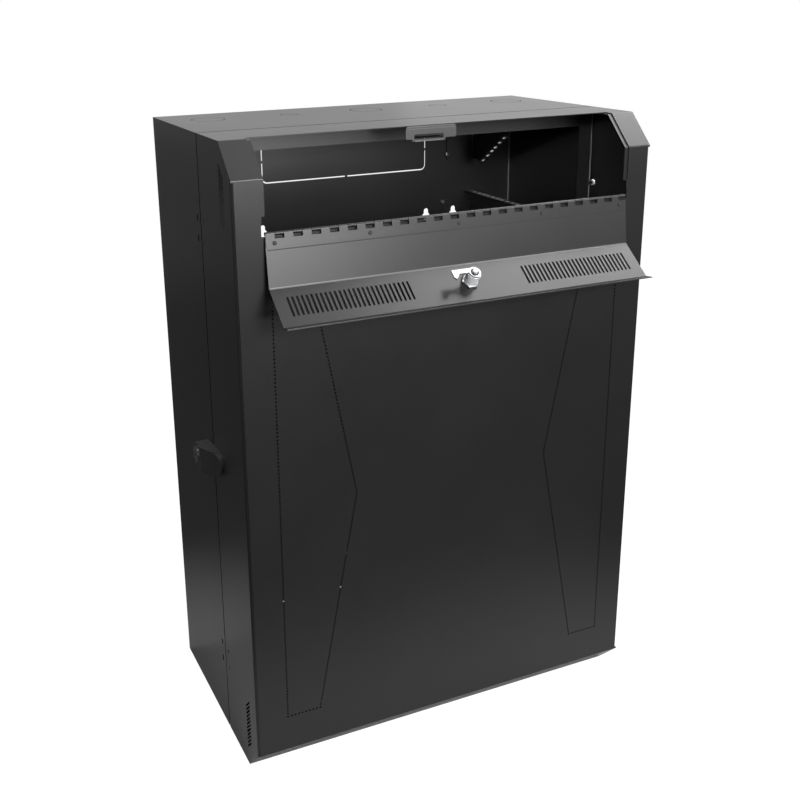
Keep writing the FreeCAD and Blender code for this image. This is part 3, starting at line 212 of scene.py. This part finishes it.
def powder_coat(name, base, lighter, rough, grain):
    """Fine-textured satin powder coat on steel: orange-peel grain, faint cloudiness."""
    m = MaterialNodes(name)
    grain_noise = m.noise(GRAIN_SCALE, 2.0, 0.6)
    peel = m.noise(PEEL_SCALE, 2.0, 0.5)
    cloud = m.noise(CLOUD_SCALE, 3.0, 0.55)
    speck = m.spread(m.noise(SPECK_SCALE, 1.0, 0.5), 0.0, 1.0, *SPECK_RANGE)
    clouded = m.combine("MULTIPLY", m.spread(cloud, *CLOUD_SHADE), m.spread(peel, *PEEL_SHADE))
    speckled = m.combine("MULTIPLY", speck, m.spread(cloud, *SPECK_SHADE))
    uneven = m.combine("ADD", m.spread(cloud, *CLOUD_GLOSS), m.spread(grain_noise, *GRAIN_GLOSS))
    fine = m.bump(grain_noise, grain, GRAIN_DEPTH)
    m.set(Base_Color=m.two_colours(m.combine("ADD", clouded, speckled), base, lighter),
          Roughness=m.spread(uneven, *rough),
          Specular_IOR_Level=0.5, IOR=1.5,
          Normal=m.bump(peel, grain * PEEL_SHARE, PEEL_DEPTH, fine))
    return m.material


def metal(name, colour, second, rough, scale, scratches):
    """Bare or plated metal with fine scratches and a slight change of tone."""
    m = MaterialNodes(name)
    tone = m.noise(scale * METAL_TONE_SCALE, 3.0, 0.6)
    fine = m.noise(scale * METAL_SCRATCH_SCALE, 2.0, 0.6)
    uneven = m.combine("ADD", tone, m.spread(fine, *SCRATCH_GLOSS))
    m.set(Base_Color=m.two_colours(m.spread(tone, 0.0, 1.0), colour, second),
          Metallic=1.0,
          Roughness=m.spread(uneven, *rough),
          Normal=m.bump(fine, scratches, SCRATCH_DEPTH))
    return m.material


def moulded_plastic(name, colour, second, rough):
    """Matte black moulded plastic with a spark-eroded grain."""
    m = MaterialNodes(name)
    grain = m.noise(SPARK_SCALE, 2.0, 0.5)
    cloud = m.noise(PLASTIC_CLOUD_SCALE, 2.0, 0.5)
    m.set(Base_Color=m.two_colours(m.spread(cloud, 0.0, 1.0), colour, second),
          Roughness=m.spread(grain, *rough),
          Specular_IOR_Level=0.5,
          Normal=m.bump(grain, SPARK_BUMP, SPARK_DEPTH))
    return m.material


COAT = powder_coat("black_powder_coat", base=(0.0070, 0.0071, 0.0073),
                   lighter=(0.0135, 0.0137, 0.0141), rough=(0.27, 0.35), grain=0.12)
# Painted highlight: a lighter coat on thin strips along bends, for the light they catch along
# their whole length.
PAINTED_BEND_HIGHLIGHT = powder_coat("bend_painted_highlight", base=(0.10, 0.10, 0.102),
                        lighter=(0.15, 0.15, 0.152), rough=(0.25, 0.35), grain=0.1)
# Painted light: the strike gets a lighter copy of the black coat, for the light that falls on
# it.
PAINTED_LIGHT_STRIKE = powder_coat("strike_painted_light", base=(0.045, 0.045, 0.046),
                          lighter=(0.062, 0.062, 0.063), rough=(0.27, 0.35), grain=0.12)
# Painted shade: a near-black copy of the coat for gaps, slots and hollows in shadow.
PAINTED_SHADE_COAT = powder_coat("painted_shade", base=(0.0015, 0.0015, 0.0015),
                          lighter=(0.002, 0.002, 0.002), rough=(0.6, 0.7), grain=0.1)
# Painted shade: a darker copy of the coat on the rivet heads, for the shade in their recesses.
RIVET_SHADE_COAT = powder_coat("rivet_painted_shade", base=(0.0025, 0.0025, 0.0026),
                         lighter=(0.004, 0.004, 0.0041), rough=(0.55, 0.65), grain=0.1)
HINGE_PAINT = powder_coat("black_hinge_paint", base=(0.010, 0.010, 0.0103),
                          lighter=(0.018, 0.018, 0.0185), rough=(0.22, 0.32), grain=0.08)
# Dull zinc scatters light as a light coat does.
THREAD_ZINC = powder_coat("thread_zinc", base=(0.72, 0.72, 0.73),
                          lighter=(0.84, 0.84, 0.85), rough=(0.3, 0.4), grain=0.1)
CAST = powder_coat("cast_zinc", base=(0.56, 0.562, 0.57),
                   lighter=(0.66, 0.662, 0.67), rough=(0.34, 0.44), grain=0.1)
ZINC = metal("bright_zinc", colour=(0.27, 0.272, 0.278), second=(0.35, 0.352, 0.358),
             rough=(0.26, 0.40), scale=400.0, scratches=0.1)
CHROME = metal("polished_chrome", colour=(0.29, 0.292, 0.297), second=(0.35, 0.352, 0.358),
               rough=(0.10, 0.18), scale=300.0, scratches=0.03)
PLASTIC = moulded_plastic("black_plastic", colour=(0.012, 0.012, 0.013),
                          second=(0.02, 0.02, 0.021), rough=(0.42, 0.56))

BY_SLOT = {
    "black_powder_coat": COAT,
    "black_hinge": HINGE_PAINT,
    "zinc": ZINC,
    "cast_lock": CAST,
    "chrome_lock": CHROME,
    "black_plastic": PLASTIC,
}
BY_NODE = {
    "flap_strike": PAINTED_LIGHT_STRIKE,
    "frame_hinge_nuts": THREAD_ZINC,
    "door_hinge_nuts": THREAD_ZINC,
    "piano_rivets_moving": RIVET_SHADE_COAT,
}


def dress(thing, material):
    """Give a mesh one material."""
    thing.data.materials.clear()
    thing.data.materials.append(material)


for subpart in frame["record"]["subparts"]:
    node_name = subpart["node"]
    dress(NODES[node_name], BY_NODE.get(node_name, BY_SLOT[subpart["material_slot"]]))

# ---- making pieces ---------------------------------------------------------------------------

FILLET_STEPS = 4
ROUND_BAR_SIDES = 12


def show(name, mesh, material):
    """A new dressed object in the scene."""
    piece = bpy.data.objects.new(name, mesh)
    bpy.context.scene.collection.objects.link(piece)
    dress(piece, material)
    return piece


def new_piece(name, bm, material, body):
    """Turn a bmesh into a dressed piece that rides on a body."""
    mesh = bpy.data.meshes.new(name)
    bmesh.ops.recalc_face_normals(bm, faces=bm.faces)
    bm.normal_update()
    bm.to_mesh(mesh)
    bm.free()
    piece = show(name, mesh, material)
    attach(piece, body)


def ring_of_vertices(bm, middle, across, up, radius, sides):
    """New vertices evenly round a point."""
    turns = [2 * math.pi * k / sides for k in range(sides)]
    return [bm.verts.new(middle + across * (radius * math.cos(turn))
                         + up * (radius * math.sin(turn))) for turn in turns]


def add_tube(bm, middle, across, up, axis, radii, heights, sides, smooth=False):
    """A short tube with flat ends, from the first to the second height along an axis."""
    inner, outer = radii
    low, high = heights
    rings = [ring_of_vertices(bm, middle + axis * height, across, up, radius, sides)
             for radius, height in ((outer, low), (outer, high), (inner, high), (inner, low))]
    for index, ring in enumerate(rings):
        after = rings[(index + 1) % 4]
        for k in range(sides):
            bm.faces.new((ring[k - 1], ring[k], after[k], after[k - 1])).smooth = smooth


def along_x(y, z, x):
    """Places the outline of a bar that lies along X."""
    return (x, y, z)


def bar(name, outline, ends, material, body, place=along_x):
    """A long bar: an outline of (first, second) pairs drawn out between two ends."""
    bm = bmesh.new()
    caps = [[bm.verts.new(place(first, second, end)) for first, second in outline]
            for end in ends]
    for k in range(len(outline)):
        bm.faces.new((caps[0][k - 1], caps[0][k], caps[1][k], caps[1][k - 1]))
    bm.faces.new(caps[0])
    bm.faces.new(caps[1])
    new_piece(name, bm, material, body)


def box_outline(low_y, high_y, low_z, high_z):
    """The outline of a bar with a rectangular section."""
    return [(low_y, low_z), (high_y, low_z), (high_y, high_z), (low_y, high_z)]


def strip_outline(start, end, off):
    """The outline of a thin strip on the line from start to end, as thick as off is long."""
    return [start, start + off, end + off, end]


def fillet(corner, first, second, size):
    """The outline of a hollow bend in a corner between two directions."""
    corner, first, second = Vector(corner), Vector(first) * size, Vector(second) * size
    shares = [step / FILLET_STEPS for step in range(FILLET_STEPS + 1)]
    return [corner] + [corner + first * (1 - share) ** 2 + second * share ** 2
                       for share in shares]


def round_bar(middle, radius):
    """The outline of a thin round bar."""
    turns = [2 * math.pi * k / ROUND_BAR_SIDES for k in range(ROUND_BAR_SIDES)]
    return [(middle[0] + radius * math.cos(turn), middle[1] + radius * math.sin(turn))
            for turn in turns]


# ---- door shell with its perforated outlines -------------------------------------------------

SHELL_LOW, SHELL_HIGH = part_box("door_shell")
FRONT_PLANES = (SHELL_LOW.y, SHELL_LOW.y + DOOR_SHEET)
WELD = 1e-6
HOLE_RADIUS = 0.00147
HOLE_PITCH = 0.00541
HOLE_SIDES = 10
# (x, z) corners of the right-hand outline
OUTLINE_RIGHT = [(0.2697, -0.365), (0.2697, 0.303), (0.219, 0.303), (0.155, -0.031),
                 (0.219, -0.365)]


def dotted_line(corners):
    """Evenly spaced points round a closed outline, with a point on every corner."""
    points = []
    for index, start in enumerate(corners):
        end = corners[(index + 1) % len(corners)]
        start, end = Vector(start), Vector(end)
        steps = max(1, round((end - start).length / HOLE_PITCH))
        points += [start.lerp(end, step / steps) for step in range(steps)]
    return points


def in_plane(part, plane):
    """Whether an edge or a face lies in a plane across Y."""
    return all(abs(v.co.y - plane) < SAME_PLACE for v in part.verts)


def perforated_front(source):
    """A copy of the shell's mesh whose flat front is rebuilt with the rows of small holes."""
    mesh = source.data.copy()
    bm = bmesh.new()
    bm.from_mesh(mesh)
    bmesh.ops.remove_doubles(bm, verts=bm.verts, dist=WELD)
    flat = [f for f in bm.faces if any(in_plane(f, plane) for plane in FRONT_PLANES)]
    holes = [(side * x, z) for side, _ in SIDES for x, z in dotted_line(OUTLINE_RIGHT)]
    bmesh.ops.delete(bm, geom=flat, context="FACES")
    rows = []
    for plane, outward in zip(FRONT_PLANES, (-1, 1)):
        border = [e for e in bm.edges if e.is_boundary and in_plane(e, plane)]
        rings = [ring_of_vertices(bm, Vector((x, plane, z)), X_AXIS, Z_AXIS,
                                  HOLE_RADIUS, HOLE_SIDES) for x, z in holes]
        border += [bm.edges.new((ring[k - 1], ring[k]))
                   for ring in rings for k in range(HOLE_SIDES)]
        made = bmesh.ops.triangle_fill(bm, use_beauty=True, use_dissolve=False, edges=border,
                                       normal=(0, outward, 0))
        for face in made["geom"]:
            if isinstance(face, bmesh.types.BMFace) and face.normal.y * outward < 0:
                face.normal_flip()
        rows.append(rings)
    for front, back in zip(*rows):
        for k in range(HOLE_SIDES):
            bm.faces.new((front[k - 1], front[k], back[k], back[k - 1]))
    bm.normal_update()
    bm.to_mesh(mesh)
    bm.free()
    return mesh


shell = show("perforated_shell", perforated_front(NODES["door_shell"]), COAT)
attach(shell, "door")
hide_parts("door_shell")

# ---- conduit knock-outs of the top, with their punched gaps ----------------------------------

KNOCKOUT_PITCH = 0.1275
KNOCKOUT_Y = -0.081
LARGE_DISC = 0.0245
SMALL_DISC = 0.0135
KNOCKOUTS = [(step * KNOCKOUT_PITCH, LARGE_DISC if step % 2 == 0 else SMALL_DISC)
             for step in range(-2, 3)]
PUNCHED_GAP = 0.0008
# A face whose normal rises less than this is part of a rim.
RIM_RISE = 0.5


def punched_discs(source):
    """A copy of the knock-out discs with rims as far from the sheet as a punch leaves them."""
    mesh = source.data.copy()
    for vert in mesh.vertices:
        x, radius = min(KNOCKOUTS, key=lambda place: abs(vert.co.x - place[0]))
        spoke = Vector((vert.co.x - x, vert.co.y - KNOCKOUT_Y))
        if abs(spoke.length - radius) < SAME_PLACE:
            spoke *= (radius - PUNCHED_GAP) / radius
            vert.co.x, vert.co.y = x + spoke.x, KNOCKOUT_Y + spoke.y
    return mesh


discs = show("punched_discs", punched_discs(NODES["top_knockouts"]), COAT)
# The rims of the discs are painted in shade, for the dark of the punched gap round them.
discs.data.materials.append(PAINTED_SHADE_COAT)
for face in discs.data.polygons:
    face.material_index = 1 if abs(face.normal.z) < RIM_RISE else 0
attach(discs, "wall_frame")
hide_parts("top_knockouts")

# ---- painted highlights on bends, and screw threads inside the wall half ---------------------

BEND_SIZE = 0.0016
BACK_LOW, BACK_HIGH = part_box("back_panel")
BACK_CORNER = (BACK_HIGH.x, BACK_LOW.y)
BRACKET_LOW, BRACKET_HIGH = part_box("patch_bracket_right")
BRACKET_CORNER = (BRACKET_HIGH.x - WALL_SHEET, BRACKET_HIGH.y - WALL_SHEET)
RING_LOW, RING_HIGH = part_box("flange_ring")
RING_RADIUS = 0.003
# A thin round bar along the ring's outer bend, painted as its highlight
RING_HIGHLIGHT_MIDDLE = (RING_HIGH.x - RING_RADIUS, RING_LOW.y)
RING_HIGHLIGHT_RADIUS = 0.0009

# The 19-inch hole grid of the rails and the sloping brackets
RACK_X = 0.23255
RACK_UNIT = 0.04445
RACK_HOLES = (0.00635, 0.022225, 0.0381)
RAIL_UNITS = 6
BRACKET_UNITS = 2
RACK_STEPS = [unit * RACK_UNIT + step for unit in range(RAIL_UNITS) for step in RACK_HOLES]
BRACKET_STEPS = RACK_STEPS[:BRACKET_UNITS * len(RACK_HOLES)]
RAIL_BACK_Y = -0.019
RAIL_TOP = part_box("rail_right")[1].z
HEEL_Y = -0.047
BRACKET_SLOPE = math.radians(35)
UP_BRACKET = Vector((0, -math.cos(BRACKET_SLOPE), math.sin(BRACKET_SLOPE)))
OUT_OF_BRACKET = Vector((0, math.sin(BRACKET_SLOPE), math.cos(BRACKET_SLOPE)))
# Radii are given as (inner, outer).
THREAD_RADII = (0.00225, 0.00298)
THREAD_PROUD = 0.0003
THREAD_SIDES = 20


def upright(side, name, outline, ends):
    """A painted highlight along a bend that stands in the wall half, on the left or the right.
    """
    bar(name, outline, ends, PAINTED_BEND_HIGHLIGHT, "wall_frame", lambda x, y, z: (side * x, y, z))


def threads(name, holes, along, up):
    """Bare steel threads in a row of rack holes: short tubes, barely proud of the sheet."""
    bm = bmesh.new()
    for hole in holes:
        add_tube(bm, hole, X_AXIS, along, up, THREAD_RADII,
                 (-THREAD_PROUD, WALL_SHEET + THREAD_PROUD), THREAD_SIDES, smooth=True)
    new_piece(name, bm, THREAD_ZINC, "wall_frame")


for side, label in SIDES:
    upright(side, "corner_bend_highlight_" + label, fillet(BACK_CORNER, (-1, 0), (0, -1), BEND_SIZE),
            (BACK_LOW.z, BACK_HIGH.z))
    upright(side, "bracket_bend_highlight_" + label, fillet(BRACKET_CORNER, (-1, 0), (0, -1), BEND_SIZE),
            (BRACKET_LOW.z, BRACKET_HIGH.z))
    upright(side, "ring_bend_highlight_" + label, round_bar(RING_HIGHLIGHT_MIDDLE, RING_HIGHLIGHT_RADIUS),
            (RING_LOW.z + RING_RADIUS, RING_HIGH.z - RING_RADIUS))
    threads("rail_threads_" + label,
            [Vector((side * RACK_X, RAIL_BACK_Y - step, RAIL_TOP - WALL_SHEET))
             for step in RACK_STEPS], Vector((0, 1, 0)), Z_AXIS)
    heel = Vector((side * RACK_X, HEEL_Y, BRACKET_LOW.z))
    threads("bracket_threads_" + label, [heel + UP_BRACKET * step for step in BRACKET_STEPS],
            UP_BRACKET, OUT_OF_BRACKET)

# ---- painted highlights and painted shade on the flap, the strike and the flap stops ---------

# The least height of a drawn line over its sheet
SKIN = 0.00006

# The open flap, as (y, z): its directions, folds and edges
FLAP_TILT = math.radians(7)
CHAMFER_TILT = math.radians(38)
DOWN_PANEL = Vector((-math.sin(FLAP_TILT), -math.cos(FLAP_TILT)))
DOWN_CHAMFER = Vector((-math.cos(CHAMFER_TILT), -math.sin(CHAMFER_TILT)))
OUT_OF_PANEL = Vector((DOWN_PANEL.y, -DOWN_PANEL.x)) * SKIN * 2
FOLD = Vector((-0.38205, 0.28128))
FOLD_SIZE = 0.0012
LIP_FOLD = Vector((-0.43068, 0.24361))
LIP_EDGE = Vector((-0.44351, 0.24518))
LIP_LINE = 0.0012
ALONG_LIP = (LIP_EDGE - LIP_FOLD).normalized()
OUT_OF_LIP = Vector((ALONG_LIP.y, -ALONG_LIP.x)) * SKIN
LIP_LINE_START = LIP_EDGE - ALONG_LIP * LIP_LINE
FLAP_LOW, FLAP_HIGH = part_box("flap_panel")
FLAP_END_MARGIN = 0.001
FLAP_ENDS = (FLAP_LOW.x + FLAP_END_MARGIN, FLAP_HIGH.x - FLAP_END_MARGIN)
LEAF_EDGE = Vector((-0.37580, 0.33040))
LEAF_HALF = 0.2755
LEAF_SHADOW_WIDTH = 0.0011
LEAF_SHADOW = DOWN_PANEL * LEAF_SHADOW_WIDTH

STRIKE_LOW, STRIKE_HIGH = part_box("flap_strike")
STRIKE_FACE_Y = STRIKE_HIGH.y - DOOR_SHEET
STRIKE_MARGIN = 0.002
STRIKE_ENDS = (STRIKE_LOW.x + STRIKE_MARGIN, STRIKE_HIGH.x - STRIKE_MARGIN)
# The lowest and highest Z of each painted highlight along the strike
STRIKE_HIGHLIGHTS = {"strike_bend_highlight": (0.4616, 0.4625), "strike_fold_highlight": (0.4588, 0.4594)}
STRIKE_SLOT_X = (-0.035, 0.010)
# A sheet painted in shade behind the strike's slot, so that the slot looks dark
SLOT_SHADE_MARGIN = 0.003
SLOT_SHADE_X = (STRIKE_SLOT_X[0] - SLOT_SHADE_MARGIN, STRIKE_SLOT_X[1] + SLOT_SHADE_MARGIN)
SLOT_SHADE_DEPTH = 0.020
SLOT_SHADE_Z = (0.4455, 0.4461)
# A small block painted in shade at the lower end of each flap stop
STOP_SHADE_X = (0.2794, 0.2806)
STOP_SHADE_Y = (-0.37095, -0.3684)
STOP_SHADE_Z = (0.3625, 0.3719)

# A painted highlight along the flap's fold
bar("flap_fold_highlight", fillet(FOLD, -DOWN_PANEL, DOWN_CHAMFER, FOLD_SIZE), FLAP_ENDS,
    PAINTED_BEND_HIGHLIGHT, "flap")
# A strip painted in shade along the lower edge of the moving leaf, for the shadow the edge casts
bar("leaf_edge_shadow", [LEAF_EDGE - OUT_OF_PANEL, LEAF_EDGE + OUT_OF_PANEL,
                      LEAF_EDGE + OUT_OF_PANEL + LEAF_SHADOW, LEAF_EDGE - OUT_OF_PANEL + LEAF_SHADOW],
    (-LEAF_HALF, LEAF_HALF), PAINTED_SHADE_COAT, "flap")
# Painted highlights along the strike's bend, its fold and the edge of its lip
for highlight_name, heights in STRIKE_HIGHLIGHTS.items():
    bar(highlight_name, box_outline(STRIKE_FACE_Y - SKIN, STRIKE_FACE_Y, *heights), STRIKE_ENDS,
        PAINTED_BEND_HIGHLIGHT, "door")
bar("strike_lip_highlight", box_outline(STRIKE_LOW.y - SKIN, STRIKE_FACE_Y - SKIN,
                                   STRIKE_LOW.z + SKIN, STRIKE_LOW.z + DOOR_SHEET + SKIN),
    STRIKE_SLOT_X, PAINTED_BEND_HIGHLIGHT, "door")
bar("strike_slot_shade", box_outline(STRIKE_HIGH.y, STRIKE_HIGH.y + SLOT_SHADE_DEPTH, *SLOT_SHADE_Z), SLOT_SHADE_X,
    PAINTED_SHADE_COAT, "door")
# Painted shade on the top face of the flap's lip, and a painted highlight along its edge
bar("flap_lip_shade", strip_outline(LIP_FOLD, LIP_LINE_START, OUT_OF_LIP), FLAP_ENDS,
    PAINTED_SHADE_COAT, "flap")
bar("flap_lip_highlight", strip_outline(LIP_LINE_START, LIP_EDGE, OUT_OF_LIP), FLAP_ENDS,
    PAINTED_BEND_HIGHLIGHT, "flap")
for side, label in SIDES:
    bar("stop_shade_" + label, box_outline(*STOP_SHADE_Y, *STOP_SHADE_Z),
        [side * x for x in STOP_SHADE_X], PAINTED_SHADE_COAT, "door")

# A thin ring painted in shade round the head of the screw that holds the cam
CAM_POINT = Vector((0.0, -0.405244, 0.26144))
CAM_AXIS = Vector((0.0, -0.615661, 0.788011))
CAM_TOP = 0.0233
RIM_RADII = (0.005, 0.0058)
RIM_HEIGHT = 0.0002
RIM_SIDES = 28

rim = bmesh.new()
add_tube(rim, CAM_POINT + CAM_AXIS * CAM_TOP, X_AXIS, CAM_AXIS.cross(X_AXIS), CAM_AXIS,
         RIM_RADII, (0.0, RIM_HEIGHT), RIM_SIDES)
new_piece("cam_screw_shade_ring", rim, PAINTED_SHADE_COAT, "flap_cam")

# ---- stage: floor, world, lamps and camera ---------------------------------------------------

# The camera sees a pale floor that glows into the white background. Every other ray, such as a
# reflection in a black sheet, meets a floor painted with light and shade: pale near the cabinet,
# dark further out, and pale again far behind and beside it. FLOOR_NEAR, FLOOR_BEHIND and
# FLOOR_BESIDE are where each tone fades: from the edge of the footprint, along Y, and along X on
# both sides.
FLOOR_SIZE = 14.0
FLOOR_GAP = 0.0005
FLOOR_ROUGHNESS = 0.9
FLOOR_PALE = 0.85
FLOOR_GLOW = 1.15
FLOOR_GLOW_SHARE = 0.86
FLOOR_BOUNCE_NEAR = 0.62
FLOOR_BOUNCE_MIDDLE = 0.05
FLOOR_BOUNCE_BEHIND = 0.4
FLOOR_BOUNCE_BESIDE = 0.4
FLOOR_NEAR = (0.06, 0.39)
FLOOR_BEHIND = (2.2, 3.3)
FLOOR_BESIDE = (1.7, 2.6)
FOOTPRINT_MIDDLE = (0.0, -0.22, 0.0)
FOOTPRINT_HALF = (0.32, 0.22, 1.0)

WORLD_SEEN = 1.0
WORLD_GLOSSY_SHARE = 0.77
WORLD_SOFT = 0.02

# name, place, width and height, watts; all are aimed at one point
LAMP_TARGET = (0, 0, 0.2)
SOFTBOXES = [
    ("high_front_softbox", (0.3, -3.0, 1.1), (1.0, 0.6), 50.0),
    ("right_overhead_softbox", (1.6, 0.0, 2.3), (1.4, 1.4), 47.0),
    ("left_overhead_softbox", (-1.3, -0.6, 2.4), (1.2, 1.2), 22.0),
    ("right_front_softbox", (1.6, -2.6, 1.2), (1.0, 0.8), 22.0),
    ("level_front_softbox", (0.4, -3.0, 0.45), (1.0, 0.6), 20.0),
    ("top_front_softbox", (0.0, -3.0, 1.7), (1.0, 0.6), 8.0),
    ("overhead_softbox", (-0.2, 0.0, 2.6), (1.6, 1.6), 5.0),
    ("right_back_softbox", (2.6, 2.6, 0.9), (2.2, 1.6), 3.5),
]
# The front lamps are flagged off the top of the wall half, which would mirror them backwards.
FLAGGED_LAMPS = ("high_front_softbox", "right_front_softbox", "level_front_softbox",
                 "top_front_softbox")
# name, place, target, size, watts, spread
NARROW_LAMPS = [
    ("mouth_fill", (-1.7, -2.3, 1.15), (0.26, -0.1, 0.40), (0.3, 0.3), 0.28, 0.25),
    ("hinge_nut_fill", (-1.2, -2.4, 1.2), (0.312, -0.22, 0.37), (0.25, 0.25), 0.16, 0.16),
]

CAMERA_SENSOR = 36.0
CAMERA_LENS = 47.383
CAMERA_SHIFT = (0.0724, -0.0949)
# The axis of the turn from the world to the camera, as long as the turn in radians
CAMERA_TURN = Vector((1.8356, -0.3991, 0.2696))
CAMERA_PLACE = (-0.7037, -1.5932, 0.6287)


def make_floor():
    """A pale floor that fades into the white background and keeps the cabinet's shadow."""
    mesh = bpy.data.meshes.new("floor")
    bm = bmesh.new()
    bmesh.ops.create_grid(bm, x_segments=1, y_segments=1, size=FLOOR_SIZE)
    bm.to_mesh(mesh)
    bm.free()
    m = MaterialNodes("pale_floor")
    floor = show("floor", mesh, m.material)
    floor.location = (0, 0, -SHELL_HIGH.z - FLOOR_GAP)

    to_camera = m.add("ShaderNodeLightPath").outputs["Is Camera Ray"]
    glow = m.white("ShaderNodeEmission", FLOOR_GLOW)
    glow_share = m.combine("MULTIPLY", to_camera, FLOOR_GLOW_SHARE)
    m.link(m.mixed(glow_share, m.shader.outputs["BSDF"], glow), m.output.inputs["Surface"])

    spread_out = m.vector("ABSOLUTE", m.vector("SUBTRACT", m.place, FOOTPRINT_MIDDLE))
    outside = m.vector("MAXIMUM", m.vector("SUBTRACT", spread_out, FOOTPRINT_HALF), (0, 0, 0))
    near = m.spread(m.vector("LENGTH", outside), FLOOR_BOUNCE_NEAR, FLOOR_BOUNCE_MIDDLE,
                    *FLOOR_NEAR)
    behind = m.spread(m.axis(m.place, "Y"), 0.0, FLOOR_BOUNCE_BEHIND, *FLOOR_BEHIND)
    beside = m.spread(m.axis(spread_out, "X"), 0.0, FLOOR_BOUNCE_BESIDE, *FLOOR_BESIDE)
    bounce = m.combine("ADD", near, m.combine("ADD", behind, beside))
    pale = m.combine("MULTIPLY", to_camera, FLOOR_PALE)
    m.set(Base_Color=m.combine("MAXIMUM", pale, bounce), Roughness=FLOOR_ROUGHNESS)


def make_world():
    """White to the camera and through glass, nearly so in reflections, and otherwise faint."""
    world = bpy.data.worlds.new("studio")
    bpy.context.scene.world = world
    world.use_nodes = True
    n = Nodes(world.node_tree)
    output = n.add("ShaderNodeOutputWorld")
    path = n.add("ShaderNodeLightPath").outputs
    glossy = n.combine("MULTIPLY", path["Is Glossy Ray"], WORLD_GLOSSY_SHARE)
    shown = n.combine("MAXIMUM", path["Is Camera Ray"], path["Is Transmission Ray"])
    white = n.mixed(n.combine("MAXIMUM", shown, glossy),
                    n.white("ShaderNodeBackground", WORLD_SOFT),
                    n.white("ShaderNodeBackground", WORLD_SEEN))
    n.link(white, output.inputs["Surface"])


def area_light(name, place, target, size, watts):
    """A rectangular soft light aimed at a point."""
    data = bpy.data.lights.new(name, "AREA")
    data.shape = "RECTANGLE"
    data.size, data.size_y = size
    data.energy = watts
    light = bpy.data.objects.new(name, data)
    light.location = place
    aim = Vector(target) - Vector(place)
    light.rotation_euler = aim.to_track_quat("-Z", "Y").to_euler()
    bpy.context.scene.collection.objects.link(light)
    return light


def flag_off(lights, pieces):
    """Keep lights off some pieces, as flags on stands do in a studio."""
    flagged = bpy.data.collections.new("flagged")
    for piece in pieces:
        flagged.objects.link(piece)
    for member in flagged.collection_objects:
        member.light_linking.link_state = "EXCLUDE"
    for light in lights:
        light.light_linking.receiver_collection = flagged


def make_camera():
    """The camera at the photo's viewing angle, from the cabinet's upper left."""
    data = bpy.data.cameras.new("camera")
    data.sensor_width = CAMERA_SENSOR
    data.lens = CAMERA_LENS
    data.shift_x, data.shift_y = CAMERA_SHIFT
    camera = bpy.data.objects.new("camera", data)
    world_to_camera = Matrix.Rotation(CAMERA_TURN.length, 3, CAMERA_TURN.normalized())
    flip = Matrix.Diagonal((1, -1, -1))
    camera.matrix_world = (world_to_camera.transposed() @ flip).to_4x4()
    camera.location = CAMERA_PLACE
    bpy.context.scene.collection.objects.link(camera)
    bpy.context.scene.camera = camera


make_floor()
make_world()
lamps = {name: area_light(name, place, LAMP_TARGET, size, watts)
         for name, place, size, watts in SOFTBOXES}
for name, place, target, size, watts, spread in NARROW_LAMPS:
    area_light(name, place, target, size, watts).data.spread = spread
flag_off([lamps[name] for name in FLAGGED_LAMPS], (NODES["rear_top"], discs))
make_camera()
bpy.context.scene.view_settings.view_transform = "Standard"
